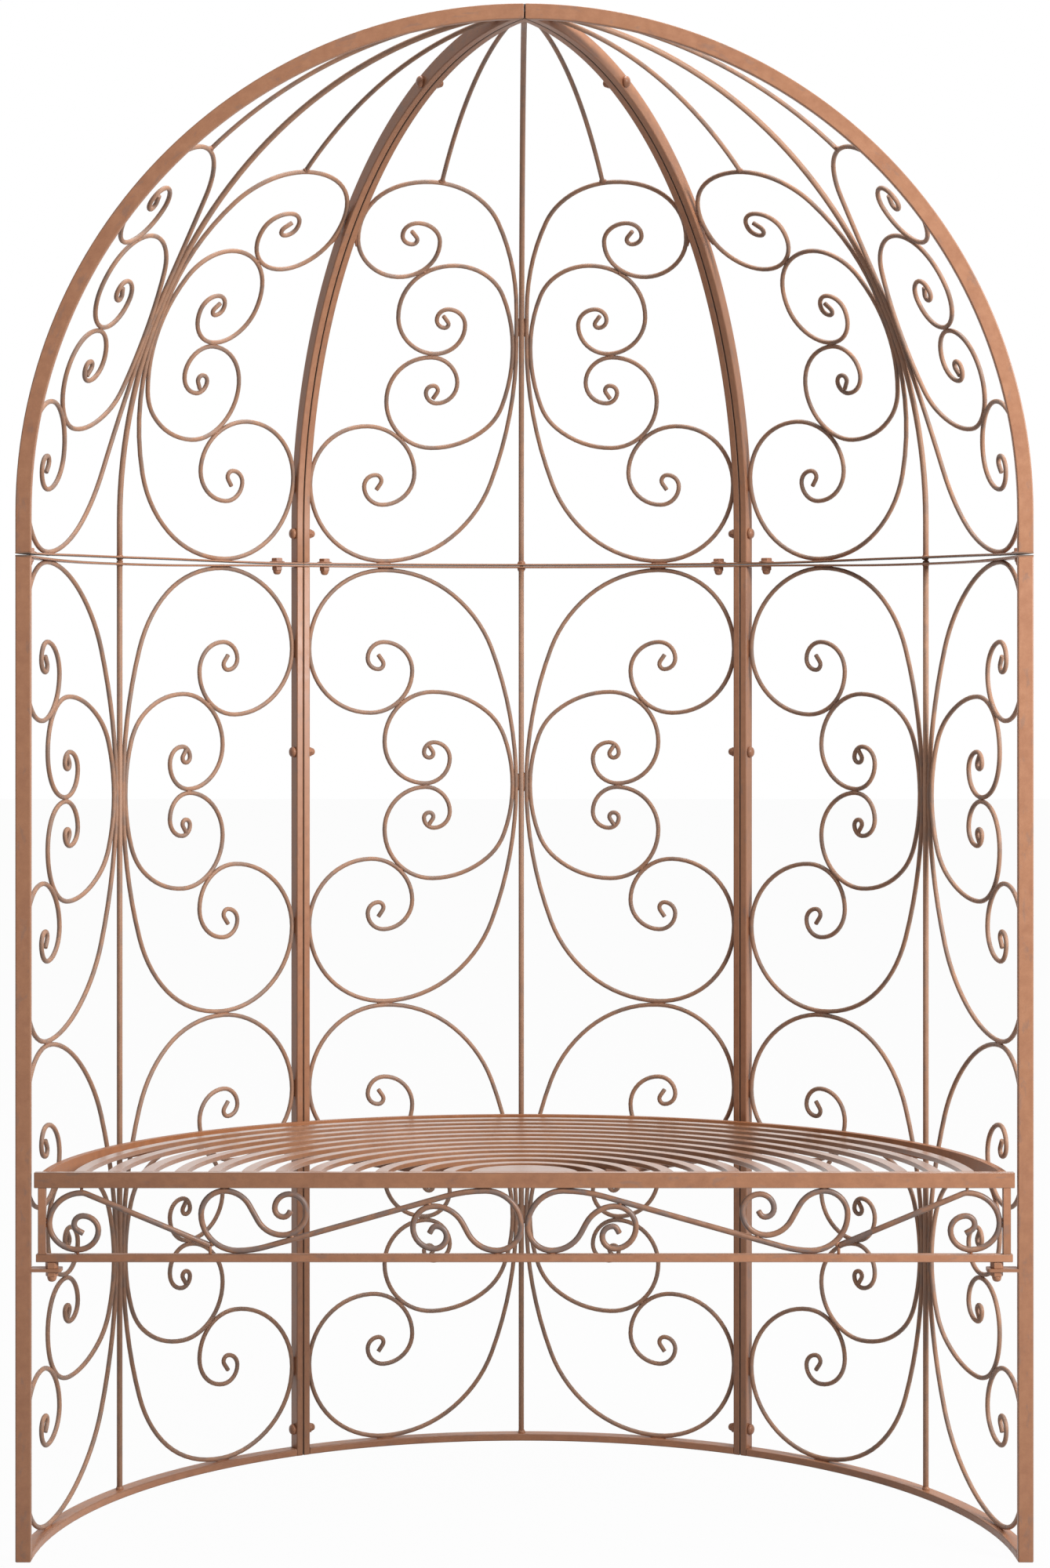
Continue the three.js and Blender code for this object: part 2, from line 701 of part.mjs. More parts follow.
// The scrolls of one half of the apron. The end scroll starts where it meets the loop of the long one.
function apronScrollwork(hand) {
  const radius = apronScrollDiameter / 2;
  const low = apronFoot + apronRailHeight + clearance + radius;
  const high = seatHeight - tubeDepth - clearance - radius;
  const longDrawing = flatRun(longScrollOuter).slice(1).reverse().concat(flatRun(longScrollInner));
  const reach = bayHalfWidth * longScrollReachShare;
  const long = fitted(longDrawing, { outer: reach, inner: radius + clearance, low, high });
  const endFrom = (inner) => fitted(flatRun(endScroll), {
    outer: bayHalfWidth - clearance - radius, inner, low: low + endScrollLift, high: high - endScrollDrop,
  });
  const start = whereTheyMeet(reach + 2 * radius, reach - apronHeight / 2, radius, (inner) => (
    leastDistance(endFrom(inner).slice(0, 2), long, onApron)
  ));
  return joined([long, endFrom(start)].map((places) => (
    barAlong(places, hand, onApron, radius, scrollSides)
  )));
}

addPiece(shelter, 'apron_right_scrollwork', apronScrollwork(1), darkPaint);
addPiece(shelter, 'apron_left_scrollwork', apronScrollwork(-1), darkPaint);

export default shelter;
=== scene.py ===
# Arbour seat, dressed for the picture: smooth rods, rounded tubes, welds, bolts and mottled powder coat.
# Metres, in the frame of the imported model.

import json
from math import acos, asin, atan, ceil, cos, pi, radians, sin

import bpy
import numpy as np
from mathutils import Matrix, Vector, noise


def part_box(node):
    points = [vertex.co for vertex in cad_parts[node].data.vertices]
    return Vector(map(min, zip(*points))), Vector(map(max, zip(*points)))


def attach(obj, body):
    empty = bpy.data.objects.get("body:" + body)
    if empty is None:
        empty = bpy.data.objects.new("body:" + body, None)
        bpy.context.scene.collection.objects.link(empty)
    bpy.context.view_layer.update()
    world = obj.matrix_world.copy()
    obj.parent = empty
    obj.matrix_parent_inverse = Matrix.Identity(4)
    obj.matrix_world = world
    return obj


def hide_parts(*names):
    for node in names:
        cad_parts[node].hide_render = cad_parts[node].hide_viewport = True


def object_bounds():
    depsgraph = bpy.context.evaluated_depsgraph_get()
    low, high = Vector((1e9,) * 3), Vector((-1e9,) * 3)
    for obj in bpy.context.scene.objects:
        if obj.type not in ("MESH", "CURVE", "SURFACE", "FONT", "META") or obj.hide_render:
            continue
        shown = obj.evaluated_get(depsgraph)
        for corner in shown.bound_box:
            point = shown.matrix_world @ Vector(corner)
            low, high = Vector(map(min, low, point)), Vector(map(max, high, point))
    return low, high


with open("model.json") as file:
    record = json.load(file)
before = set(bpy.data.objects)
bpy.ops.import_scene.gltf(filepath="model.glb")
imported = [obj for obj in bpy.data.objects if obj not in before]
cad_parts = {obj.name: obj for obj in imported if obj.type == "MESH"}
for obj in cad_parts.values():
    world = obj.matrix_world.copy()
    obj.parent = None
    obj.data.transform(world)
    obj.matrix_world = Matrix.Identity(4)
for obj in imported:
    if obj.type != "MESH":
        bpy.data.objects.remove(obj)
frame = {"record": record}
cad_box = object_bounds()
cad_low, cad_high = cad_box

# Sections of the bars. The two rails of a seam are drawn thinner than they are, so that light shows there
TUBE_DEPTH = 0.020
TUBE_WIDTH = 0.010
TUBE_CORNER = 0.0014
RAIL_THICKNESS = 0.003
RAIL_SHOWN = 0.0028
ROD_RADIUS = 0.004
SCROLL_RADIUS = 0.0032
APRON_RADIUS = 0.0038
SLAT_WIDTH = 0.016
SLAT_THICKNESS = 0.006

# Fits and small corners
JOINT_GAP = 0.0009
CLEARANCE = 0.0003
WELD_DEPTH = 0.001
MITRE_GAP = 0.0001
FRONT_CORNER = 0.0007
SLAT_CORNER = 0.0006
PLATE_BEVEL = 0.001

# The seam of each panel: the hand of its rear edge, and how far each rail bends away from the other one.
# Shares of the length, from the rear edge, give where the rails part and where they close again in part
SEAM_GAPE = {"right": (1, 0.0027), "back": (0, 0.0), "left": (-1, 0.0029)}
GAPE_OPENING = (0.04, 0.4)
GAPE_CLOSING = (0.6, 1)
GAPE_CLOSED_SHARE = 0.85

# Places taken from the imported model, and the straight skirt of the roof
RING_RADIUS = cad_high[0]
RING_Y = cad_low[1] - JOINT_GAP / 2
WALL_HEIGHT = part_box("back_wall_top_rail")[1][2]
ROOF_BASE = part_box("back_roof_base_rail")[0][2]
SEAT_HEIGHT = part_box("bench_front_rail")[1][2]
FRONT_RAIL_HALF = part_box("bench_front_rail")[1][0]
APRON_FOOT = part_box("apron_frame")[0][2]
APRON_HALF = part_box("apron_frame")[1][0]
ROOF_SKIRT = 0.0537

# Bench
RIM_RADIUS = 0.620
SEAT_FALL = 0.015
SLAT_COUNT = 12
SLAT_PITCH = 0.043
OUTER_SLAT_RADIUS = 0.579
CENTRE_PLATE_RADIUS = 0.070
BEARER_COUNT = 3
APRON_RAIL_HEIGHT = 0.010
APRON_BAR_INSET = 0.0025
END_SCROLL_DROP = 0.0027
END_SCROLL_LIFT = 0.0012

# Lugs and bolts
LUG_THICKNESS = 0.004
LUG_WIDTH = 0.020
LUG_LENGTH = 0.039
LUG_CORNER = 0.004
LUG_OVERLAP = 0.001
LUG_BOLT_SETBACK = 0.026
LUG_NUT_RADIUS = 0.0085
SPACER_BEVEL = 0.0008
SPACER_END_SHARE = 0.92
LUG_SPACER_HEIGHT = 0.0085
SEAM_BOLT_OFFSET = 0.0385
WALL_BOLT_HEIGHTS = [0.037, 1.021]
ROOF_BOLT_HEIGHT = 0.045
ROOF_BOLT_RISE = radians(66.5)
HEXAGON = 6
HEAD_SIDES = 18
CAP_SIDES = 14
FLANGE_SIDES = 20
NUT_BEVEL = 0.0006
HEAD_FOOT = 0.0008
FLANGE_EDGE = 0.0009
FOOT_SHARE = 0.94
HEAD_SIDE_SHARE = 0.3
CAP_FOOT_SHARE = 0.46
CAP_WIDTH_SHARE = 0.78
CAP_FULLNESS = 0.6
DOME_TIP_SHARE = 0.06

# Radius and height of the heads and nuts
DOMED_HEAD = (0.0079, 0.0072)
FLANGE_HEAD = (0.0086, 0.0062)
SEAM_NUT = (0.0078, 0.0116)
JOINT_NUT = (0.0075, 0.0118)
LUG_NUT = (LUG_NUT_RADIUS * 0.95, 0.0135)

# What follows from the sizes above
PANEL_ANGLE = pi / 3
FRAME_RADIUS = RING_RADIUS - TUBE_DEPTH / 2
TUBE_INNER = RING_RADIUS - TUBE_DEPTH
TUBE_OFFSET = JOINT_GAP / 2 + TUBE_WIDTH
TUBE_MIDDLE = JOINT_GAP / 2 + TUBE_WIDTH / 2
UNDER_SEAM = WALL_HEIGHT - RAIL_THICKNESS
FRAME_LENGTH = ROOF_SKIRT + FRAME_RADIUS * pi / 2
SEAT_TILT = atan(SEAT_FALL / RIM_RADIUS)
FRONT_EDGE = JOINT_GAP / 2
FRONT_Y = FRONT_EDGE + TUBE_WIDTH / 2
APRON_LOW = APRON_FOOT + APRON_RAIL_HEIGHT
APRON_HIGH = SEAT_HEIGHT - TUBE_DEPTH
APRON_BAY = APRON_HALF - APRON_BAR_INSET - TUBE_WIDTH
APRON_BAR_X = APRON_BAY + TUBE_WIDTH / 2
BENCH_START = FRONT_EDGE + TUBE_WIDTH + CLEARANCE + TUBE_DEPTH * sin(SEAT_TILT)
LARGE_BELLY = ROD_RADIUS + CLEARANCE + SCROLL_RADIUS
SMALL_BELLY = LARGE_BELLY + 2 * SCROLL_RADIUS - WELD_DEPTH
HALF_TOUCH = SCROLL_RADIUS - WELD_DEPTH / 2

# Scrolls as chains of arcs from the belly to the straight tip of the curl: turns in degrees, to the
# right where they are negative and 0 for a straight stretch, and radii as shares of the half height
SCROLL_TURNS = [-20, -30, -40, -90, -90, -90, -90, -90, -90, -125, 0]
SCROLL_MARKS = ["flank", "shoulder", "crown", "cheek", "loop_foot", "loop_side"]
WALL_LARGE = [1.84, 0.58, 0.49, 0.361, 0.294, 0.193, 0.132, 0.075, 0.05, 0.024, 0.036]
WALL_SMALL = [1.54, 0.61, 0.92, 0.53, 0.44, 0.266, 0.174, 0.108, 0.058, 0.045, 0.088]
ROOF_LOWER_LARGE = [1.86, 0.57, 0.47, 0.335, 0.268, 0.206, 0.145, 0.08, 0.053, 0.025, 0.034]
ROOF_UPPER_LARGE = [1.99, 0.52, 0.42, 0.5, 0.265, 0.285, 0.137, 0.109, 0.06, 0.038, 0.052]
ROOF_LOWER_SMALL = [1.71, 0.52, 0.84, 0.44, 0.43, 0.248, 0.208, 0.1, 0.074, 0.044, 0.078]
ROOF_UPPER_SMALL = [1.86, 0.58, 0.58, 0.68, 0.4, 0.36, 0.19, 0.14, 0.09, 0.047, 0.09]
TOP_ROD_SETBACK = 0.015

# Heights in the roof as shares of the frame's length, and of the small scrolls as shares of the large ones
ROOF_BELLY = 0.311
ROOF_BELLY_END = 0.361
ROOF_SMALL_BELLY = 0.307
ROOF_SMALL_MEET = 0.294
ROOF_CROWN = 0.562
SMALL_HALF_HEIGHT = 0.43
ROOF_SMALL_LOWER = 0.46
ROOF_SMALL_UPPER = 0.6

# Scrolls of the apron, as the others, with shares of the height between the rails
END_SCROLL = dict(
    heading=156,
    turns=[0, 24, 90, 90, 90, 90, 90, 60, 0],
    shares=[2.1, 0.18, 0.5, 0.44, 0.32, 0.24, 0.137, 0.12, 0.1],
)
LONG_SCROLL_INNER = dict(
    heading=15.7,
    turns=[0, -15.7, -90, -90, -62, 0, 62, 90, 90, 90, 90, 60, 0],
    shares=[3.06, 2.47, 0.585, 0.4, 0.54, 0.18, 0.54, 0.345, 0.355, 0.2, 0.17, 0.08, 0.09],
)
LONG_SCROLL_OUTER = dict(
    heading=195.7,
    turns=[-15.7, -90, -90, -61, 0, 61, 90, 90, 90, 90, 60, 0],
    shares=[1.73, 0.6, 0.385, 0.47, 0.28, 0.47, 0.39, 0.286, 0.235, 0.143, 0.1, 0.06],
)

# Reach of the long scroll as a share of the bay, and distances along it and between its touches
LONG_SCROLL_REACH = 0.676
LOOP_START = 0.1
SPOTS_APART = 0.004
END_SCROLL_SEARCH = 0.048
PIN_RADIUS = 0.0021

# Half length and half thickness of the weld beads, and the ways in which they lie on a panel, with the
# distances between them and the places where pieces meet
BEADS = dict(
    wall_side=(0.013, 0.0022), roof_side=(0.012, 0.0022), belly=(0.012, 0.0022), crown=(0.012, 0.0024),
    touch=(0.0042, 0.0030), meeting=(0.0045, 0.0026), rod_side=(0.014, 0.0022), rod_end=(0.0056, 0.0052),
    top_rod_foot=(0.0055, 0.0036), top_rod_peak=(0.006, 0.0040), peak=(0.008, 0.0052),
    apron_rail=(0.0040, 0.0024), apron_end=(0.0026, 0.0020), apron_touch=(0.0042, 0.0032),
    apron_bar=(0.0055, 0.0022),
)
ALONG = (0, 1)
ACROSS = (1, 0)
TOUCH_SLANT = (0.6, 0.8)
ROD_BEAD_RISE = 0.004
BELLY_BEAD_DROP = 0.003
END_BEAD_LIFTS = (-0.003, 0.004)
BEAD_STEP = 0.001
BEAD_LIFT = 0.001

# Fineness of the curves, and of the search for the size at which two scrolls meet
SAGITTA = 0.00015
ROD_SIDES = 10
APRON_ROD_SIDES = 12
STRAIGHT_ROD_SIDES = 14
RIB_STEPS = 60
TOP_ROD_STEPS = 24
CENTRE_ROD_STEPS = 48
PLATE_STEPS = 48
BEAD_RINGS = 5
BEAD_SIDES = 8
MEETING_STEPS = 20
GROWTH_LIMITS = (0.6, 1.6)

# Ends of the bars: how far from an end the ring beside it lies, and the size of the end's own section
END_CHAMFER = 0.0008
ROD_CHAMFER = 0.0006
FRONT_CHAMFER = 0.0007
ROD_END_SHARE = 0.84
FRONT_END_SHARE = 0.94
POST_FOOT_SHARE = 0.93
POST_TOP_SHARE = 0.97

# Wear of the edges, as shares of the full dark edge, and the painted shade in the gap between two posts,
# laid on the sides that face each other. Round a corner lie four rows, at these shares of its half turn
POST_WEAR = 0.3
RAIL_WEAR = 0.5
SLAT_WEAR = 0.1
FRONT_WEAR = 0.9
LUG_WEAR = 0.3
PLATE_WEAR = (0, 0.7, 0.9, 0.3)
CORNER_ROWS = (-1, -0.33, 0.33, 1)
CORNER_WEAR = (0.7, 1, 1, 0.7)
CORNER_KEEP_SHARE = 0.35
# How far round the corner the painted shade on a joint side reaches, and its strength
JOINT_SIDE_SHARE = 0.3
JOINT_PAINTED_SHADE = 2.5

node_slots = {part["node"]: part["material_slot"] for part in frame["record"]["subparts"]}


# Materials

def new_node(tree, kind, **settings):
    node = tree.nodes.new(kind)
    for key, value in settings.items():
        setattr(node, key, value)
    return node


def new_object(name, data):
    thing = bpy.data.objects.new(name, data)
    bpy.context.scene.collection.objects.link(thing)
    return thing


def new_material(name):
    material = bpy.data.materials.new(name)
    material.use_nodes = True
    return material, material.node_tree, material.node_tree.nodes["Principled BSDF"]


def set_inputs(node, values):
    for name, value in values.items():
        node.inputs[name].default_value = value


def noise_texture(tree, coordinates, pattern):
    node = new_node(tree, "ShaderNodeTexNoise")
    set_inputs(node, dict(zip(("Scale", "Detail", "Roughness", "Distortion"), pattern)))
    tree.links.new(coordinates, node.inputs["Vector"])
    return node.outputs["Fac"]


def ramp(tree, value, stops):
    node = new_node(tree, "ShaderNodeValToRGB")
    elements = node.color_ramp.elements
    for i, (position, level) in enumerate(stops):
        element = elements[i] if i < 2 else elements.new(position)
        element.position = position
        element.color = (level, level, level, 1)
    tree.links.new(value, node.inputs["Fac"])
    return node.outputs["Color"]


def feed(tree, socket, value):
    """Gives the socket a number or a colour, or links it to another node's output."""
    if isinstance(value, (int, float)):
        socket.default_value = value
    elif isinstance(value, tuple):
        socket.default_value = (*value, 1)
    else:
        tree.links.new(value, socket)


def mixed(tree, factor, first, second, blend="MIX"):
    node = new_node(tree, "ShaderNodeMix", data_type="RGBA", blend_type=blend)
    for socket, value in ((0, factor), (6, first), (7, second)):
        feed(tree, node.inputs[socket], value)
    return node.outputs[2]


def combined(tree, operation, first, second):
    node = new_node(tree, "ShaderNodeMath", operation=operation)
    feed(tree, node.inputs[0], first)
    feed(tree, node.inputs[1], second)
    return node.outputs[0]


def scaled(tree, vector, factors):
    node = new_node(tree, "ShaderNodeVectorMath", operation="MULTIPLY")
    tree.links.new(vector, node.inputs[0])
    node.inputs[1].default_value = factors
    return node.outputs[0]


# Patterns of the paint: the noise's scale, detail, roughness and distortion, and the two of its values
# between which the pattern changes, each with its strength. Streaks and patches run along the bar
STREAK_SCALE = (26, 300, 300)
PATCH_SCALE = (34, 95, 95)
STREAKS = (1, 3, 0.6)
PATCHES = (1, 4, 0.6, 0.3)
TINT = (16, 3, 0.55)
MOTTLE = (75, 4, 0.6)
SPECK = (420, 3, 0.6)
GRAIN = (1500, 2, 0.5)
MOTTLE_STOPS = [(0.36, 0), (0.66, 1)]
STREAK_STOPS = [(0.4, 0), (0.7, 0.34)]
TINT_STOPS = [(0.4, 0), (0.66, 0.16)]
SPECK_STOPS = [(0.62, 0), (0.78, 0.2)]
WEAR_STOPS = [(0.36, 0.35), (0.6, 0.85)]
GRAIN_STOPS = [(0.3, 0.95), (0.7, 1.0)]
PAINT_SHIFT = 1.37
PATCH_FADE = 0.09
SMOOTH_UP_TO = 0.3
ROUGH_FROM = 0.7
COAT_ROUGHNESS = 0.32
COAT_IOR = 1.4
BUMP_DISTANCE = 0.00008

# The first colour is that of the dark worn edges, and also of the painted shade on the sides of posts, ribs
# and seam rails that face their neighbour
WORN_EDGE_AND_SHADE = (0.15, 0.09, 0.062)
OCHRE = (0.47, 0.225, 0.108)
SLATE = (0.135, 0.128, 0.13)
DULL = (0.22, 0.165, 0.138)


def powder_coat(name, light, dark, patch, patch_share, patch_amount, roughness, shine=0.38, bumps=0.15,
                coat=0.0):
    """Mottled powder coat with streaks and grey patches along the bar, dark worn edges, painted shade on the
    sides that face a neighbouring post or rail, and a fine grain.
    """
    material, tree, shader = new_material(name)
    place = new_node(tree, "ShaderNodeTexCoord").outputs["Object"]
    run = new_node(tree, "ShaderNodeAttribute", attribute_name="run").outputs["Vector"]
    streaks = noise_texture(tree, scaled(tree, run, STREAK_SCALE), STREAKS)
    cloud = noise_texture(tree, scaled(tree, run, PATCH_SCALE), PATCHES)
    tint = noise_texture(tree, place, TINT)
    mottle = noise_texture(tree, place, MOTTLE)
    speck = noise_texture(tree, place, SPECK)
    grain = noise_texture(tree, place, GRAIN)
    colour = mixed(tree, ramp(tree, mottle, MOTTLE_STOPS), dark, light)
    colour = mixed(tree, ramp(tree, streaks, STREAK_STOPS), colour, dark)
    colour = mixed(tree, ramp(tree, tint, TINT_STOPS), colour, OCHRE)
    patch_mask = ramp(tree, cloud, [(patch_share, 1), (patch_share + PATCH_FADE, 0)])
    colour = mixed(tree, combined(tree, "MULTIPLY", patch_mask, patch_amount), colour, patch)
    colour = mixed(tree, ramp(tree, speck, SPECK_STOPS), colour, OCHRE)
    # The edge attribute holds both the worn edges and the painted shade on sides that face a neighbouring
    # post or rail; both darken the colour by the same mix
    edge = new_node(tree, "ShaderNodeAttribute", attribute_name="edge").outputs["Fac"]
    wear_and_shade = combined(tree, "MULTIPLY", edge, ramp(tree, mottle, WEAR_STOPS))
    colour = mixed(tree, wear_and_shade, colour, WORN_EDGE_AND_SHADE)
    colour = mixed(tree, 1.0, colour, ramp(tree, grain, GRAIN_STOPS), "MULTIPLY")
    tree.links.new(colour, shader.inputs["Base Color"])
    smooth, rough = roughness
    gloss = ramp(tree, mottle, [(SMOOTH_UP_TO, smooth), (ROUGH_FROM, rough)])
    tree.links.new(gloss, shader.inputs["Roughness"])
    set_inputs(shader, {"Specular IOR Level": shine, "Coat Weight": coat,
                        "Coat Roughness": COAT_ROUGHNESS, "Coat IOR": COAT_IOR})
    bump = new_node(tree, "ShaderNodeBump")
    set_inputs(bump, {"Strength": bumps, "Distance": BUMP_DISTANCE})
    tree.links.new(mixed(tree, 0.5, speck, grain), bump.inputs["Height"])
    tree.links.new(bump.outputs["Normal"], shader.inputs["Normal"])
    return material


# Light and dark tone, patches with their share and strength, smooth and rough, and where they differ
# from the usual the shine, the bumps and the coat
PAINTS = {
    "frame_paint": ((0.438, 0.206, 0.114), (0.371, 0.167, 0.091), SLATE, 0.33, 0.25, (0.34, 0.46)),
    "scroll_paint": ((0.415, 0.238, 0.158), (0.345, 0.192, 0.126), DULL, 0.43, 0.55, (0.4, 0.55), 0.3),
    "rod_paint": ((0.41, 0.235, 0.155), (0.35, 0.195, 0.127), DULL, 0.38, 0.4, (0.4, 0.55), 0.3),
    "apron_scroll_paint": ((0.33, 0.175, 0.11), (0.25, 0.125, 0.078), SLATE, 0.45, 0.55, (0.34, 0.48)),
    "rim_paint": ((0.37, 0.143, 0.06), (0.31, 0.117, 0.048),
                  DULL, 0.33, 0.15, (0.45, 0.55), 0.15, 0.03, 0.25),
    "slat_paint": ((0.33, 0.148, 0.074), (0.27, 0.118, 0.059),
                   DULL, 0.35, 0.2, (0.28, 0.36), 0.2, 0.03, 1.0),
    "bearer_paint": ((0.25, 0.125, 0.078), (0.2, 0.1, 0.064), SLATE, 0.38, 0.4, (0.45, 0.6)),
    "weld": ((0.42, 0.2, 0.11), (0.29, 0.13, 0.075), SLATE, 0.34, 0.35, (0.32, 0.46)),
    "front_paint": ((0.398, 0.182, 0.096), (0.326, 0.145, 0.076),
                    SLATE, 0.33, 0.25, (0.26, 0.36), 0.1, 0.1, 0.9),
    "bolt": ((0.42, 0.195, 0.108), (0.32, 0.14, 0.08), SLATE, 0.34, 0.4, (0.32, 0.46)),
}
materials = {key: powder_coat(key.split("_")[0] + "_coat", *paint) for key, paint in PAINTS.items()}


# Meshes

class Shape:
    """One piece while it is put together: vertices, faces, edge wear with the painted shade of joint sides,
    and each vertex's place on its bar.
    """

    def __init__(self):
        self.vertices = np.zeros((0, 3))
        self.faces = []
        self.edge = np.zeros(0)
        self.run = np.zeros((0, 3))
        self.flat = []

    def add(self, vertices, faces, edge=None, flat=(), run=None):
        start = len(self.vertices)
        first_face = len(self.faces)
        self.vertices = np.vstack([self.vertices, vertices])
        self.faces += [[i + start for i in face] for face in faces]
        self.edge = np.concatenate([self.edge, np.zeros(len(vertices)) if edge is None else edge])
        self.run = np.vstack([self.run, vertices if run is None else run])
        self.flat += [first_face + i for i in flat]
        return self

    def merge(self, other):
        return self.add(other.vertices, other.faces, other.edge, other.flat, other.run)

    def turned(self, angle):
        """The shape turned about the ring's axis."""
        c, s = cos(angle), sin(angle)
        x, y, z = self.vertices.T
        self.vertices = np.column_stack([c * x - s * y, s * x + c * y, z])
        return self

    def in_row(self, angle=0):
        """The shape turned about the ring's axis and set in the row frame."""
        self.turned(angle)
        self.vertices[:, 1] += RING_Y
        return self

    def show(self, name, material, slot, nodes=()):
        """The shape as a piece of the scene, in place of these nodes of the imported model."""
        mesh = bpy.data.meshes.new(name)
        faces = [tuple(int(i) for i in face) for face in self.faces]
        mesh.from_pydata([tuple(v) for v in self.vertices], [], faces)
        smooth = np.ones(len(mesh.polygons), dtype=bool)
        smooth[self.flat] = False
        mesh.polygons.foreach_set("use_smooth", smooth)
        mesh.attributes.new("edge", "FLOAT", "POINT").data.foreach_set("value", self.edge)
        run = self.run + np.array([PAINT_SHIFT * len(bpy.data.meshes), 0, 0])
        mesh.attributes.new("run", "FLOAT_VECTOR", "POINT").data.foreach_set("vector", run.ravel())
        mesh.materials.append(material)
        mesh.update()
        piece = new_object(name, mesh)
        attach(piece, "root")
        if nodes:
            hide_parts(*nodes)

    def show_node(self, node, look=None):
        slot = node_slots[node]
        self.show(node + "_finished", materials[look or slot], slot, (node,))


def unit(vectors):
    return vectors / np.linalg.norm(vectors, axis=-1, keepdims=True)


def lengths_along(points):
    return np.concatenate([[0], np.cumsum(np.linalg.norm(np.diff(points, axis=0), axis=1))])


def tube_faces(rings, count):
    """The faces between neighbouring rings of this many points, and last the two ends."""
    faces = []
    for start in range(0, (rings - 1) * count, count):
        for k in range(count):
            a, b = start + k, start + (k + 1) % count
            faces.append([a, b, b + count, a + count])
    faces.append(list(range(count))[::-1])
    faces.append([(rings - 1) * count + k for k in range(count)])
    return faces


def swept(points, outward, profile, wear=None, scale=1):
    """A bar with this section (across, outward) along the points, closed at both ends."""
    points = np.asarray(points, dtype=float)
    outward = np.broadcast_to(np.asarray(outward, dtype=float), points.shape)
    steps = unit(np.diff(points, axis=0))
    along = unit(np.vstack([steps[:1], steps[:-1] + steps[1:], steps[-1:]]))
    up = unit(outward - along * np.sum(outward * along, axis=1, keepdims=True))
    across = np.cross(along, up)
    sizes = np.broadcast_to(scale, len(points))[:, None, None]
    side = profile[:, :1] * across[:, None] * sizes
    out = profile[:, 1:] * up[:, None] * sizes
    vertices = (points[:, None] + side + out).reshape(-1, 3)
    faces = tube_faces(len(points), len(profile))
    edge = None if wear is None else np.tile(wear, len(points))
    lengths = np.repeat(lengths_along(points), len(profile))
    run = np.column_stack([lengths, np.tile(profile, (len(points), 1))])
    return Shape().add(vertices, faces, edge, [len(faces) - 2, len(faces) - 1], run)


def flat_section(across, outward, corner, wear_share):
    """A rounded rectangle, with rows beside each corner that keep its flats flat."""
    points = []
    keep = corner * CORNER_KEEP_SHARE
    for quarter in range(4):
        middle = pi / 2 * quarter + pi / 4
        centre = np.sign([sin(middle), cos(middle)]) * (np.array([across, outward]) / 2 - corner)
        turns = [middle + step * pi / 4 for step in CORNER_ROWS]
        row = [centre + corner * np.array([sin(turn), cos(turn)]) for turn in turns]
        entering = np.array([-cos(turns[0]), sin(turns[0])])
        leaving = np.array([cos(turns[-1]), -sin(turns[-1])])
        points += [row[0] + entering * keep, *row, row[-1] + leaving * keep]
    return np.array(points), np.tile([0, *CORNER_WEAR, 0], 4) * wear_share


def with_end_rings(points, outward, distance=END_CHAMFER):
    """The route with one more point close to each end, so that the bar looks flat right up to its end."""
    points = np.asarray(points, dtype=float)
    outward = np.broadcast_to(np.asarray(outward, dtype=float), points.shape)
    near_start = points[0] + unit(points[1] - points[0]) * distance
    near_end = points[-1] + unit(points[-2] - points[-1]) * distance
    points = np.vstack([points[0], near_start, points[1:-1], near_end, points[-1]])
    return points, np.vstack([outward[:1], outward, outward[-1:]])


def rod(points, outward, radius, sides=ROD_SIDES):
    points, outward = with_end_rings(points, outward, ROD_CHAMFER)
    turns = 2 * pi * np.arange(sides) / sides
    section = radius * np.column_stack([np.sin(turns), np.cos(turns)])
    scale = [ROD_END_SHARE] + [1] * (len(points) - 2) + [ROD_END_SHARE]
    return swept(points, outward, section, scale=scale)


def straight_rod(start, end, radius):
    return rod([start, end], (1, 0, 0), radius, STRAIGHT_ROD_SIDES)


def flat_bar(points, outward, across, depth, corner, wear_share, scale=1):
    profile, wear = flat_section(across, depth, corner, wear_share)
    return swept(points, outward, profile, wear, scale)


# Surfaces of a panel, in its own frame, with the panel round +X

def on_circle(radius, turns, z):
    outward = np.column_stack([np.cos(turns), np.sin(turns), np.zeros_like(turns)])
    points = outward * radius
    points[:, 2] = z
    return points, outward


def on_wall(across, up):
    return on_circle(FRAME_RADIUS, across / FRAME_RADIUS, up)


def rise_of(up):
    return np.maximum(0, up - ROOF_SKIRT) / FRAME_RADIUS


def on_roof(across, up):
    rise = rise_of(up)
    reach = FRAME_RADIUS * np.cos(rise)
    turn = across / reach
    outward = np.column_stack([np.cos(turn) * np.cos(rise), np.sin(turn) * np.cos(rise), np.sin(rise)])
    height = ROOF_BASE + np.minimum(up, ROOF_SKIRT) + FRAME_RADIUS * np.sin(rise)
    return np.column_stack([reach * np.cos(turn), reach * np.sin(turn), height]), outward


def on_apron(across, up):
    outward = np.tile([0.0, -1.0, 0.0], (len(across), 1))
    return np.column_stack([across, np.full_like(across, FRONT_Y), up]), outward


def half_room(reach):
    return reach * (PANEL_ANGLE / 2 - np.arcsin(np.minimum(1, TUBE_OFFSET / reach)))


# Scroll curves: arrays of (across, up)

def chord_count(radius, turn):
    return max(2, ceil(abs(turn) / (2 * acos(1 - SAGITTA / radius))))


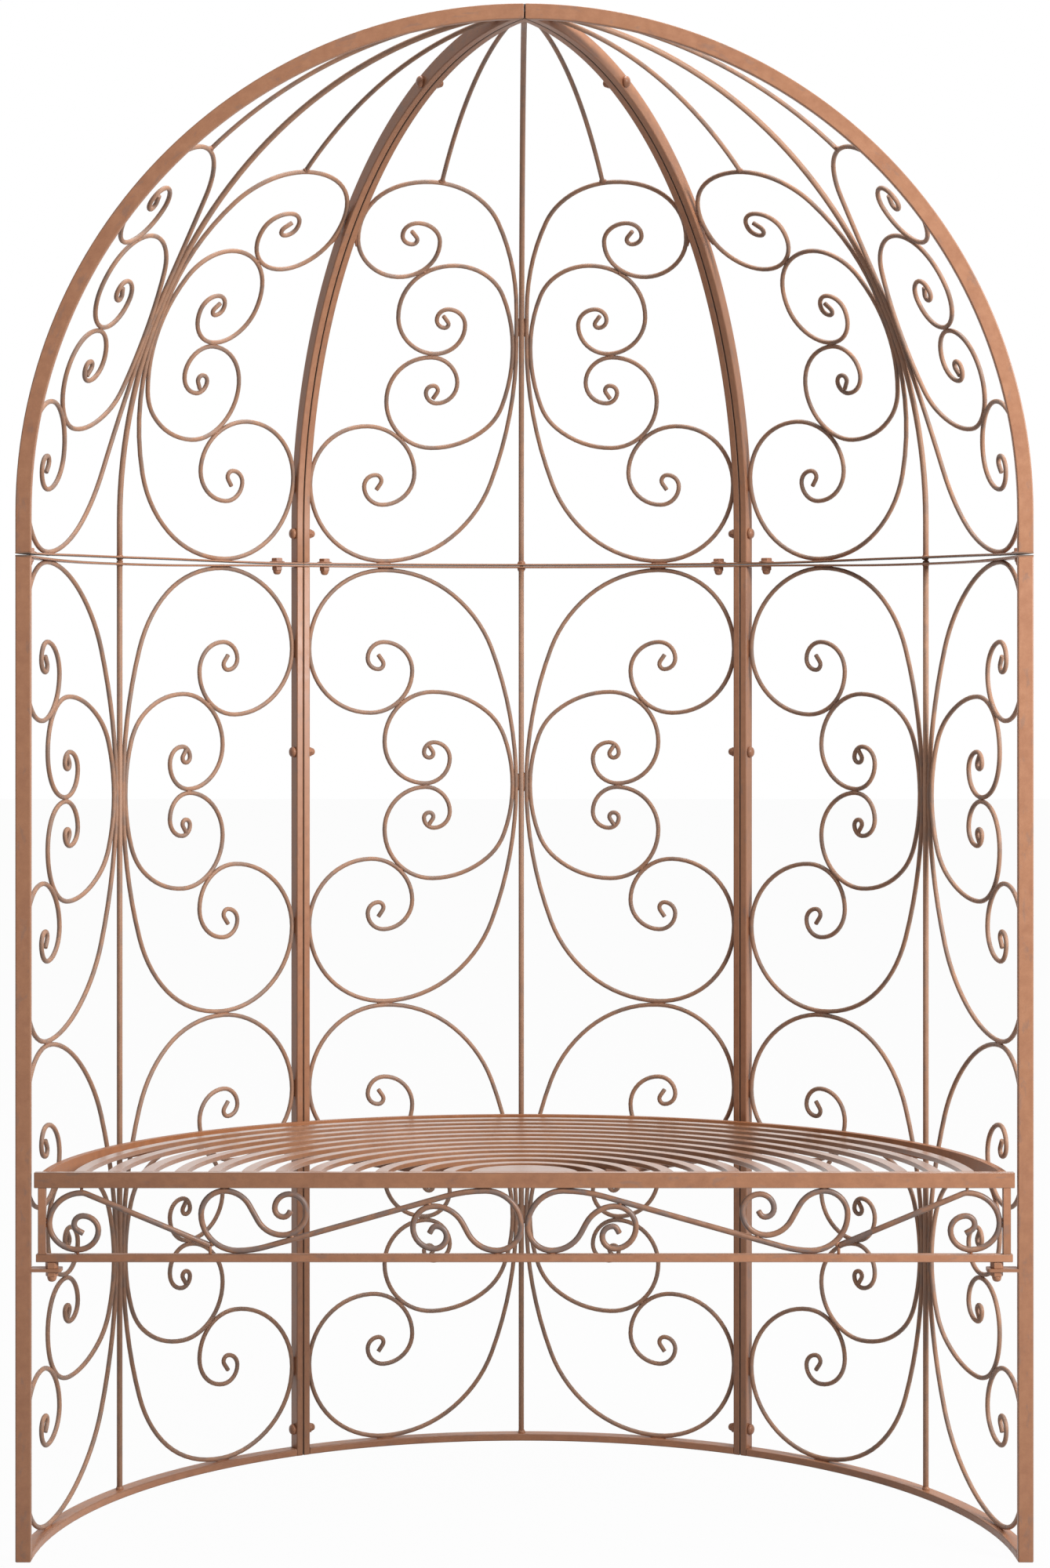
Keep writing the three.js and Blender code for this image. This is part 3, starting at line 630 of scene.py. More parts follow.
def arc_chain(heading, turns, shares, scale):
    """The places along a chain of arcs and straight stretches, and the index where each of them ends."""
    direction = heading
    spot = np.zeros(2)
    places = [spot]
    ends = []
    for degrees_turned, share in zip(turns, shares):
        turn = radians(degrees_turned)
        if turn == 0:
            places.append(spot + share * np.array([cos(direction), sin(direction)]))
        else:
            radius = share if turn > 0 else -share
            centre = spot + radius * np.array([-sin(direction), cos(direction)])
            count = chord_count(share * scale, turn)
            for chord in range(1, count + 1):
                now = direction + turn * chord / count
                places.append(centre + radius * np.array([sin(now), -cos(now)]))
        direction += turn
        spot = places[-1]
        ends.append(len(places) - 1)
    return np.array(places), ends


def curl(shares, scale):
    places, ends = arc_chain(pi / 2, SCROLL_TURNS, shares, scale)
    return places, dict(zip(SCROLL_MARKS, ends))


def half_scroll(shares, belly_up, direction, height, reach_at):
    """Half of a large scroll, as wide as the panel's frame lets it be at each height."""
    places, marks = curl(shares, height)
    up = belly_up + direction * places[:, 1] * height / places[marks["crown"], 1]
    ahead = places[:, 0] > 0
    wide = np.min((reach_at(up[ahead]) - LARGE_BELLY) / places[ahead, 0])
    return np.column_stack([LARGE_BELLY + places[:, 0] * wide, up]), marks


def least_gap(first, second):
    start, step = first[:-1, None, :], np.diff(first, axis=0)[:, None, :]
    spots = second[None, :, :]
    share = np.sum((spots - start) * step, axis=2) / np.sum(step * step, axis=2)
    nearest = start + np.clip(share, 0, 1)[:, :, None] * step
    gaps = np.linalg.norm(spots - nearest, axis=2)
    best = np.unravel_index(np.argmin(gaps), gaps.shape)
    return gaps[best], (nearest[best] + second[best[1]]) / 2


def where_they_meet(apart, together, radius, gap_at):
    for _ in range(MEETING_STEPS):
        middle = (apart + together) / 2
        if gap_at(middle) > 2 * radius - WELD_DEPTH:
            apart = middle
        else:
            together = middle
    return together


def seated_half(shares, belly_up, direction, meet, height, large, surface):
    """The small scroll's half, grown until its shoulder meets the loop of the large scroll."""
    large_places, large_marks = large
    loop = large_places[large_marks["cheek"]:large_marks["loop_side"] + 1]
    loop_points = surface(*loop.T)[0]
    loop_arc = SCROLL_MARKS.index("loop_foot")

    def shaped(grow):
        drawn = list(shares)
        places, marks = curl(drawn, height)
        scale = height * grow / places[marks["crown"], 1]
        drawn[loop_arc] = places[marks["cheek"], 1] - meet / scale
        places, marks = curl(drawn, height)
        across, up = places.T * scale
        return np.column_stack([SMALL_BELLY + across, belly_up + direction * up]), marks

    def loop_gap(places, marks):
        shoulder = places[marks["shoulder"]:marks["cheek"] + 1]
        return least_gap(surface(*shoulder.T)[0], loop_points)

    grown = where_they_meet(*GROWTH_LIMITS, SCROLL_RADIUS, lambda grow: loop_gap(*shaped(grow))[0])
    places, marks = shaped(grown)
    return places, marks, loop_gap(places, marks)[1]


def scroll_rod(places, hand, surface):
    points, outward = surface(places[:, 0] * hand, places[:, 1])
    return rod(points, outward, SCROLL_RADIUS)


def whole_scroll(upper, lower, hand, surface):
    """The rod of a scroll whose two halves start at its belly."""
    places = np.vstack([upper[0][::-1], lower[0]])
    steps = np.linalg.norm(np.diff(places, axis=0), axis=1)
    return scroll_rod(places[np.concatenate([[True], steps > CLEARANCE])], hand, surface)


# Welds

BEAD_SWELL = 0.3
BEAD_BUMPS = 1.7
SEED_START = 1.3
SEED_PER_FACE = 0.37
SEED_WAY = (3.1, 1.7, 1)


def turn_to(axis):
    return Vector(axis).normalized().to_track_quat("Z", "Y").to_matrix()


class Welds(Shape):
    """Small uneven beads of one panel, each with its own bumps."""

    def bead(self, centre, along, kind):
        length, thick = BEADS[kind]
        seed = len(self.faces) * SEED_PER_FACE + SEED_START
        turn = turn_to(along)
        vertices = []
        for ring in range(BEAD_RINGS + 1):
            angle = pi * ring / BEAD_RINGS
            for k in range(BEAD_SIDES):
                around = 2 * pi * k / BEAD_SIDES
                spot = Vector((sin(angle) * cos(around), sin(angle) * sin(around), cos(angle)))
                bump = noise.noise(spot * BEAD_BUMPS + Vector([seed * share for share in SEED_WAY]))
                spot = Vector((spot.x * thick, spot.y * thick, spot.z * length)) * (1 + BEAD_SWELL * bump)
                vertices.append(Vector(centre) + turn @ spot)
        faces = tube_faces(BEAD_RINGS + 1, BEAD_SIDES)[:-2]
        self.add(np.array(vertices), [[a, d, c, b] for a, b, c, d in faces])

    def at(self, surface, across, up, hand, flow, kind):
        """A bead on the panel's surface, along the direction flow = (across, up)."""
        places = np.array([(across, up), (across + flow[0] * BEAD_STEP, up + flow[1] * BEAD_STEP)])
        here, there = surface(places[:, 0] * hand, places[:, 1])[0]
        self.bead(here, there - here, kind)

    def inside(self, surface, hand, small, meet_up, rod_up, belly_up):
        """The beads where a small scroll meets itself and the large one, and that one the centre rod."""
        for _, _, contact in small:
            slant = (0, hand * TOUCH_SLANT[0], TOUCH_SLANT[1])
            self.bead(contact * np.array([1, hand, 1]), slant, "touch")
        places, marks, _ = small[0]
        self.at(surface, places[marks["loop_foot"]][0], meet_up, hand, ACROSS, "meeting")
        self.at(surface, ROD_RADIUS + CLEARANCE / 2, rod_up, hand, ALONG, "rod_side")
        self.at(surface, LARGE_BELLY + SCROLL_RADIUS, belly_up, hand, ALONG, "belly")


# Wall panels

def wall_scrollwork(hand, welds):
    bottom = TUBE_WIDTH + CLEARANCE
    top = UNDER_SEAM - CLEARANCE
    group_height = (top - bottom + WELD_DEPTH) / 2
    half_height = group_height / 2 - SCROLL_RADIUS
    small_height = half_height * SMALL_HALF_HEIGHT
    reach = half_room(FRAME_RADIUS) - CLEARANCE - SCROLL_RADIUS
    shape = Shape()
    for group in (0, 1):
        middle = bottom + group_height / 2 + group * (group_height - WELD_DEPTH)
        large, small = [], []
        for way in (1, -1):
            half = half_scroll(WALL_LARGE, middle, way, half_height, lambda up: reach)
            large.append(half)
            small.append(seated_half(WALL_SMALL, middle, way, HALF_TOUCH, small_height, half, on_wall))
        shape.merge(whole_scroll(*large, hand, on_wall))
        shape.merge(whole_scroll(*small, hand, on_wall))
        for way, (places, marks) in zip((1, -1), large):
            side, crown = places[marks["cheek"]], places[marks["crown"]]
            welds.at(on_wall, side[0] + SCROLL_RADIUS, side[1], hand, ALONG, "wall_side")
            welds.at(on_wall, crown[0], crown[1] + way * SCROLL_RADIUS, hand, ACROSS, "crown")
        welds.inside(on_wall, hand, small, middle, middle + ROD_BEAD_RISE, middle - BELLY_BEAD_DROP)
    return shape


def before_crown(places, marks):
    """The place on the scroll where the top rod stands, a little before the crown."""
    run = places[:marks["crown"] + 1][::-1]
    return np.array([np.interp(TOP_ROD_SETBACK, lengths_along(run), run[:, k]) for k in (0, 1)])


def roof_rod_end(half_width, meridian):
    reach = (TUBE_OFFSET + CLEARANCE + half_width) / sin(PANEL_ANGLE / 2 - meridian)
    return ROOF_SKIRT + FRAME_RADIUS * acos(reach / FRAME_RADIUS)


def roof_scrollwork(hand, welds):
    bottom = RAIL_THICKNESS + CLEARANCE + SCROLL_RADIUS
    belly, belly_end = FRAME_LENGTH * ROOF_BELLY, FRAME_LENGTH * ROOF_BELLY_END
    crown_up = FRAME_LENGTH * ROOF_CROWN
    small_up, meet_up = FRAME_LENGTH * ROOF_SMALL_BELLY, FRAME_LENGTH * ROOF_SMALL_MEET

    def reach_at(up):
        return half_room(FRAME_RADIUS * np.cos(rise_of(up))) - CLEARANCE - SCROLL_RADIUS

    lower = half_scroll(ROOF_LOWER_LARGE, belly, -1, belly - bottom, reach_at)
    upper = half_scroll(ROOF_UPPER_LARGE, belly_end, 1, crown_up - belly_end, reach_at)
    small_lower = seated_half(ROOF_LOWER_SMALL, small_up, -1, small_up - meet_up + HALF_TOUCH,
                              (belly - bottom) * ROOF_SMALL_LOWER, lower, on_roof)
    small_upper = seated_half(ROOF_UPPER_SMALL, small_up, 1, meet_up - small_up + HALF_TOUCH,
                              (crown_up - belly_end) * ROOF_SMALL_UPPER, upper, on_roof)
    shape = Shape()
    shape.merge(whole_scroll(upper, lower, hand, on_roof))
    shape.merge(whole_scroll(small_upper, small_lower, hand, on_roof))
    foot = before_crown(*upper)
    meridian = foot[0] / (FRAME_RADIUS * cos(rise_of(foot[1])))
    up = np.linspace(foot[1], roof_rod_end(SCROLL_RADIUS, meridian), TOP_ROD_STEPS)
    top_rod = np.column_stack([meridian * FRAME_RADIUS * np.cos(rise_of(up)), up])
    shape.merge(scroll_rod(top_rod, hand, on_roof))
    welds.at(on_roof, foot[0], foot[1] + SCROLL_RADIUS, hand, ACROSS, "top_rod_foot")
    welds.at(on_roof, *top_rod[-1], hand, ALONG, "top_rod_peak")
    for places, marks in (lower, upper):
        side = places[marks["cheek"]]
        welds.at(on_roof, side[0] + SCROLL_RADIUS, side[1], hand, ALONG, "roof_side")
    lowest = lower[0][lower[1]["crown"]]
    welds.at(on_roof, lowest[0], lowest[1] - SCROLL_RADIUS, hand, ACROSS, "crown")
    welds.inside(on_roof, hand, (small_lower, small_upper), meet_up, (belly + belly_end) / 2, small_up)
    return shape


def arc_points(radius, start, end, z):
    count = max(4, chord_count(radius, end - start))
    return on_circle(radius, np.linspace(start, end, count + 1), z)


def eased(values, start, end):
    share = np.clip((values - start) / (end - start), 0, 1)
    return share * share * (3 - 2 * share)


def panel_rail(height, z, end_gap, corner, facing=0, rear=0, gape=0.0):
    """A rail round the panel. Where facing is 1 or -1, it is one of the two rails of a seam, whose upper or
    under side, the one facing the other rail, is darkened as painted shade, and which bends away from the
    other rail by the gape."""
    turn = PANEL_ANGLE / 2 - asin(end_gap / TUBE_INNER)
    points, outward = arc_points(FRAME_RADIUS, -turn, turn, z)
    from_rear = (1 - rear * np.linspace(-1, 1, len(points))) / 2
    bend = eased(from_rear, *GAPE_OPENING) * (1 - GAPE_CLOSED_SHARE * eased(from_rear, *GAPE_CLOSING))
    points[:, 2] -= facing * gape * bend
    profile, wear = flat_section(height, TUBE_DEPTH, corner, RAIL_WEAR)
    # Painted shade on the side that faces the other rail of the seam
    shaded_side = -facing * profile[:, 0] > height / 2 - corner
    return swept(*with_end_rings(points, outward), profile, wear + JOINT_PAINTED_SHADE * shaded_side)


def joint_frame(shape, hand):
    """From the frame of a joint, where its plane is y = 0, to the frame of the panel."""
    return shape.turned(hand * PANEL_ANGLE / 2)


def joint_section(hand, painted_shade):
    """The section of a post or rib, with the side that faces its neighbour darkened as painted shade in the
    gap between them.
    """
    profile, wear = flat_section(TUBE_WIDTH, TUBE_DEPTH, TUBE_CORNER, POST_WEAR)
    facing = hand * profile[:, 0] > TUBE_WIDTH / 2 - TUBE_CORNER * JOINT_SIDE_SHARE
    return profile, wear + painted_shade * facing


def post(hand, painted_shade):
    top = UNDER_SEAM - CLEARANCE
    heights = (0, END_CHAMFER, top - END_CHAMFER, top)
    points = [(FRAME_RADIUS, -hand * TUBE_MIDDLE, z) for z in heights]
    scale = [POST_FOOT_SHARE, 1, 1, POST_TOP_SHARE]
    return joint_frame(swept(points, (1, 0, 0), *joint_section(hand, painted_shade), scale), hand)


def rib(hand, painted_shade):
    """A rib from the seam to the peak, where each line of its section ends at the panel's middle plane."""
    y = -hand * TUBE_MIDDLE
    foot = ROOF_BASE + RAIL_THICKNESS + CLEARANCE
    spring = ROOF_BASE + ROOF_SKIRT
    profile, wear = joint_section(hand, painted_shade)
    sides, reaches = y + profile[:, 0], FRAME_RADIUS + profile[:, 1]
    half = PANEL_ANGLE / 2
    ends = np.arccos((MITRE_GAP + np.abs(sides) * cos(half)) / sin(half) / reaches)
    last = END_CHAMFER / (FRAME_RADIUS * pi / 2)
    steps = np.append(np.linspace(0, 1 - last, RIB_STEPS), 1)
    arc = [(FRAME_RADIUS * cos(rise), y, spring + FRAME_RADIUS * sin(rise)) for rise in steps * pi / 2]
    outward = [(1, 0, 0)] * 2 + [(cos(rise), 0, sin(rise)) for rise in steps * pi / 2]
    points = [(FRAME_RADIUS, y, foot), (FRAME_RADIUS, y, foot + END_CHAMFER)] + arc
    shape = swept(points, outward, profile, wear, [POST_TOP_SHARE] + [1] * (len(points) - 1))
    rises = steps[:, None] * ends
    curved = [reaches * np.cos(rises), np.broadcast_to(sides, rises.shape), spring + reaches * np.sin(rises)]
    shape.vertices[2 * len(profile):] = np.stack(curved, axis=2).reshape(-1, 3)
    return joint_frame(shape, hand)


# Fasteners

def lathed(profile, sides, place, axis):
    """A turned or hexagonal piece: (radius, height) pairs from its foot up, along the axis."""
    turn = turn_to(axis)
    vertices = []
    for radius, height in profile:
        for k in range(sides):
            around = 2 * pi * k / sides
            spot = Vector((radius * cos(around), radius * sin(around), height))
            vertices.append(Vector(place) + turn @ spot)
    faces = tube_faces(len(profile), sides)
    flat = range(len(faces)) if sides == HEXAGON else [len(faces) - 2]
    return Shape().add(np.array(vertices), faces, None, flat)


def dome(radius, height, steps=6, fullness=1.0):
    """Half an oval from its foot up; blunter where the fullness is under 1."""
    turns = [pi / 2 * i / steps for i in range(steps)]
    outline = [(radius * cos(turn) ** fullness, height * sin(turn)) for turn in turns]
    return outline + [(radius * DOME_TIP_SHARE, height)]


def domed_head(place, axis):
    radius, height = DOMED_HEAD
    side = height * HEAD_SIDE_SHARE
    upper = [(across, side + up) for across, up in dome(radius, height - side)]
    return lathed([(radius * FOOT_SHARE, 0)] + upper, HEAD_SIDES, place, axis)


def acorn_nut(place, axis, size):
    radius, height = size
    hexagon = [(radius * FOOT_SHARE, 0), (radius, NUT_BEVEL),
               (radius, height * 0.42), (radius * 0.86, height * 0.5)]
    cap_foot = Vector(place) + Vector(axis).normalized() * height * CAP_FOOT_SHARE
    outline = dome(radius * CAP_WIDTH_SHARE, height * (1 - CAP_FOOT_SHARE), 7, CAP_FULLNESS)
    return lathed(hexagon, HEXAGON, place, axis).merge(lathed(outline, CAP_SIDES, cap_foot, axis))


def joint_nut(place, axis):
    return acorn_nut(place, axis, JOINT_NUT)


def flange_head(place, axis):
    radius, height = FLANGE_HEAD
    flange = [(radius * 1.28, 0), (radius * 1.28, FLANGE_EDGE), (radius * 1.04, FLANGE_EDGE * 2)]
    hexagon = [(radius, HEAD_FOOT), (radius, height * 0.84), (radius * 0.88, height)]
    return lathed(flange, FLANGE_SIDES, place, axis).merge(lathed(hexagon, HEXAGON, place, axis))


def seam_bolts(bolts):
    """Upright bolts through the two rails of the seam, beside each post of a panel."""
    for hand in (1, -1):
        turn = hand * (PANEL_ANGLE / 2 - SEAM_BOLT_OFFSET / FRAME_RADIUS)
        x, y = FRAME_RADIUS * cos(turn), FRAME_RADIUS * sin(turn)
        bolts.merge(flange_head((x, y, ROOF_BASE + RAIL_THICKNESS), (0, 0, 1)))
        bolts.merge(acorn_nut((x, y, UNDER_SEAM), (0, 0, -1), SEAM_NUT))


def joint_bolts(bolts, hand, make):
    """Bolt heads or nuts that stand on the side of a post or rib, on this panel's side of the joint."""
    reach = FRAME_RADIUS * cos(ROOF_BOLT_RISE)
    height = ROOF_BASE + ROOF_SKIRT + FRAME_RADIUS * sin(ROOF_BOLT_RISE)
    places = [(FRAME_RADIUS, z) for z in (*WALL_BOLT_HEIGHTS, ROOF_BASE + ROOF_BOLT_HEIGHT)]
    for across, z in places + [(reach, height)]:
        bolts.merge(joint_frame(make((across, -hand * TUBE_OFFSET, z), (0, -hand, 0)), hand))


def lug_plate(hand, top):
    """A flat plate from the inner face of a post towards the middle, with its far end rounded."""
    low, high = sorted((-hand * JOINT_GAP / 2, -hand * (JOINT_GAP / 2 + LUG_WIDTH)))
    root = TUBE_INNER + LUG_OVERLAP
    tip = TUBE_INNER - LUG_LENGTH + LUG_CORNER
    turns = np.linspace(0, pi / 2, 5)
    outline = [(root, low)]
    outline += [(tip - LUG_CORNER * sin(t), low + LUG_CORNER - LUG_CORNER * cos(t)) for t in turns]
    outline += [(tip - LUG_CORNER * cos(t), high - LUG_CORNER + LUG_CORNER * sin(t)) for t in turns]
    outline += [(root, high)]
    count = len(outline)
    levels = (top - LUG_THICKNESS, top)
    vertices = np.vstack([np.column_stack([outline, np.full(count, z)]) for z in levels])
    faces = [face[::-1] for face in tube_faces(2, count)]
    return Shape().add(vertices, faces, np.full(2 * count, LUG_WEAR), range(len(faces)))


def front_lug(hand):
    """A lug with the spacer that the bench stands on and the nut under it."""
    top = APRON_FOOT - CLEARANCE - LUG_SPACER_HEIGHT
    place = (TUBE_INNER - LUG_BOLT_SETBACK, -hand * (JOINT_GAP / 2 + LUG_NUT_RADIUS))
    end = LUG_NUT_RADIUS * SPACER_END_SHARE
    spacer = [(end, 0), (LUG_NUT_RADIUS, SPACER_BEVEL),
              (LUG_NUT_RADIUS, LUG_SPACER_HEIGHT - SPACER_BEVEL), (end, LUG_SPACER_HEIGHT)]
    lug = lug_plate(hand, top).merge(lathed(spacer, HEXAGON, (*place, top), (0, 0, 1)))
    return lug.merge(acorn_nut((*place, top - LUG_THICKNESS), (0, 0, -1), LUG_NUT))


def rear_lug(hand):
    """A lug right under the lowest place of the rim above it."""
    reach = RIM_RADIUS * sin(pi / 2 - PANEL_ANGLE / 2) + LUG_WIDTH
    return lug_plate(hand, SEAT_HEIGHT - reach * sin(SEAT_TILT) - TUBE_DEPTH - CLEARANCE)


PANELS = [
    ("right", ("front", "rear"), {-1: front_lug}),
    ("back", ("right", "left"), {-1: rear_lug, 1: rear_lug}),
    ("left", ("rear", "front"), {1: front_lug}),
]


def build_panel(index, name, edges, lugs):
    angle = PANEL_ANGLE * (index + 0.5)

    def put(shape, node, look=None):
        shape.in_row(angle).show_node(f"{name}_{node}", look)

    wall_welds, roof_welds = Welds(), Welds()
    bolts = Shape()
    seam_bolts(bolts)
    for edge, hand in zip(edges, (-1, 1)):
        # Painted shade on the sides that face the next panel across the joint; none on the front posts and
        # ribs
        painted_shade = 0 if edge == "front" else JOINT_PAINTED_SHADE
        standing = post(hand, painted_shade)
        if hand in lugs:
            standing.merge(joint_frame(lugs[hand](hand), hand))
        put(standing, f"wall_{edge}_post")
        put(rib(hand, painted_shade), f"roof_{edge}_rib")
        side = "right" if hand < 0 else "left"
        put(wall_scrollwork(hand, wall_welds), f"wall_{side}_scrollwork")
        put(roof_scrollwork(hand, roof_welds), f"roof_{side}_scrollwork")
        if edge != "front":
            joint_bolts(bolts, hand, joint_nut if name == "back" else domed_head)
    foot_rail = panel_rail(TUBE_WIDTH, TUBE_WIDTH / 2, TUBE_OFFSET + CLEARANCE, TUBE_CORNER)
    put(foot_rail, "wall_foot_rail")
    for node, z, facing in (("wall_top_rail", UNDER_SEAM + RAIL_SHOWN / 2, 1),
                            ("roof_base_rail", ROOF_BASE + RAIL_THICKNESS - RAIL_SHOWN / 2, -1)):
        flat_rail = panel_rail(RAIL_SHOWN, z, JOINT_GAP / 2, RAIL_SHOWN / 4, facing, *SEAM_GAPE[name])
        put(flat_rail, node)
    wall_rod = straight_rod((FRAME_RADIUS, 0, TUBE_WIDTH), (FRAME_RADIUS, 0, UNDER_SEAM), ROD_RADIUS)
    put(wall_rod, "wall_centre_rod", "rod_paint")
    for z in (TUBE_WIDTH + BEAD_LIFT, UNDER_SEAM - BEAD_LIFT):
        wall_welds.bead((FRAME_RADIUS, 0, z), (0, 1, 0), "rod_end")
    above_skirt = np.linspace(ROOF_SKIRT, roof_rod_end(ROD_RADIUS, 0), CENTRE_ROD_STEPS)
    up = np.concatenate([[RAIL_THICKNESS], above_skirt])
    roof_rod = rod(*on_roof(np.zeros_like(up), up), ROD_RADIUS, STRAIGHT_ROD_SIDES)
    put(roof_rod, "roof_centre_rod", "rod_paint")
    roof_welds.at(on_roof, 0, up[-1], 1, ALONG, "peak")
    roof_welds.at(on_roof, 0, up[0] + BEAD_LIFT, 1, ACROSS, "rod_end")
    wall_welds.in_row(angle).show(f"{name}_wall_welds", materials["weld"], "frame_paint")
    roof_welds.in_row(angle).show(f"{name}_roof_welds", materials["weld"], "frame_paint")
    bolts.in_row(angle).show(f"{name}_bolts", materials["bolt"], "frame_paint")


for index, (name, edges, lugs) in enumerate(PANELS):
    build_panel(index, name, edges, lugs)


# Bench

def on_deck(shape):
    """From the frame of the deck, which falls to the back, to the row frame."""
    x, y, z = shape.vertices.T
    c, s = cos(SEAT_TILT), sin(SEAT_TILT)
    shape.vertices = np.column_stack([x, c * y + s * z + BENCH_START + RING_Y, -s * y + c * z + SEAT_HEIGHT])
    return shape


def deck_ring(radius, width, height, corner):
    turn = asin(BENCH_START / radius)
    points, outward = arc_points(radius, turn, pi - turn, -height / 2)
    points[:, 1] -= BENCH_START
    return on_deck(flat_bar(*with_end_rings(points, outward), height, width, corner, SLAT_WEAR))


rim = deck_ring(RIM_RADIUS - TUBE_WIDTH / 2, TUBE_WIDTH, TUBE_DEPTH, FRONT_CORNER)
rim.show_node("bench_rim", "rim_paint")
for number in range(SLAT_COUNT):
    radius = OUTER_SLAT_RADIUS - number * SLAT_PITCH - SLAT_WIDTH / 2
    deck_ring(radius, SLAT_WIDTH, SLAT_THICKNESS, SLAT_CORNER).show_node(f"bench_slat_{number + 1:02d}")


def centre_plate():
    turn = asin(BENCH_START / CENTRE_PLATE_RADIUS)
    turns = np.linspace(turn, pi - turn, PLATE_STEPS + 1)
    rounding = PLATE_BEVEL * 0.3
    rings = []
    for inset, z in ((0, -SLAT_THICKNESS), (0, -PLATE_BEVEL), (rounding, -rounding), (PLATE_BEVEL, 0)):
        radius = CENTRE_PLATE_RADIUS - inset
        across, back = radius * np.cos(turns), radius * np.sin(turns) - BENCH_START
        rings.append(np.column_stack([across, back, np.full_like(turns, z)]))
    faces = tube_faces(len(rings), len(turns))
    wear = np.repeat(PLATE_WEAR, len(turns))
    return on_deck(Shape().add(np.vstack(rings), faces, wear, [len(faces) - 2, len(faces) - 1]))


centre_plate().show_node("bench_centre_plate")


def bearer(turn):
    height = TUBE_DEPTH - SLAT_THICKNESS - CLEARANCE
    inner, outer = CENTRE_PLATE_RADIUS / 2, RIM_RADIUS - TUBE_WIDTH - CLEARANCE
    way = np.array([cos(turn), sin(turn), 0])
    points = np.array([way * inner, way * outer])
    points[:, 1] -= BENCH_START
    points[:, 2] = -TUBE_DEPTH + height / 2
    return on_deck(flat_bar(points, (0, 0, 1), TUBE_WIDTH, height, TUBE_CORNER, SLAT_WEAR))


for number in range(BEARER_COUNT):
    bearer(pi * (number + 1) / (BEARER_COUNT + 1)).show_node(f"bench_bearer_{number + 1}")


def front_bar(start, end, height):
    """A straight bar of the bench's front, between two places (across, up)."""
    points, outward = with_end_rings([(x, FRONT_Y, z) for x, z in (start, end)], (0, -1, 0), FRONT_CHAMFER)
    scale = [FRONT_END_SHARE, 1, 1, FRONT_END_SHARE]
    return flat_bar(points, outward, height, TUBE_WIDTH, FRONT_CORNER, FRONT_WEAR, scale).in_row()


rail_z = SEAT_HEIGHT - TUBE_DEPTH / 2
front_rail = front_bar((-FRONT_RAIL_HALF, rail_z), (FRONT_RAIL_HALF, rail_z), TUBE_DEPTH)
front_rail.show_node("bench_front_rail", "front_paint")

apron_rail_z = APRON_FOOT + APRON_RAIL_HEIGHT / 2
apron = front_bar((-APRON_HALF, apron_rail_z), (APRON_HALF, apron_rail_z), APRON_RAIL_HEIGHT)
for hand in (1, -1):
    apron.merge(front_bar((hand * APRON_BAR_X, APRON_LOW), (hand * APRON_BAR_X, APRON_HIGH), TUBE_WIDTH))
apron.show_node("apron_frame")


def flat_run(heading, turns, shares):
    return arc_chain(radians(heading), turns, shares, APRON_HIGH - APRON_LOW)[0]


def fitted(places, outer, inner, low, high):
    """The drawing stretched to these sides and levels."""
    rows = zip(places.T, ((outer, inner), (low, high)))
    return np.column_stack([np.interp(row, (row.min(), row.max()), limits) for row, limits in rows])


def merged_spots(values):
    """The values, with those that lie close together taken once."""
    kept = []
    for value in values:
        if all(abs(value - other) > SPOTS_APART for other in kept):
            kept.append(value)
    return kept


def contact_spot(first, second):
    return least_gap(on_apron(*first.T)[0], on_apron(*second.T)[0])[1]


def near_touches(long):
    """Where the loops of the long scroll come closest to its own straight run."""
    along = lengths_along(long)
    straight = np.argmax(np.diff(along))
    first, last = along[straight], along[straight + 1]
    run = long[(along > first - LOOP_START / 2) & (along < last + LOOP_START / 2)]
    loops = long[along < first - LOOP_START], long[along > last + LOOP_START]
    return [contact_spot(run, loop) for loop in loops]


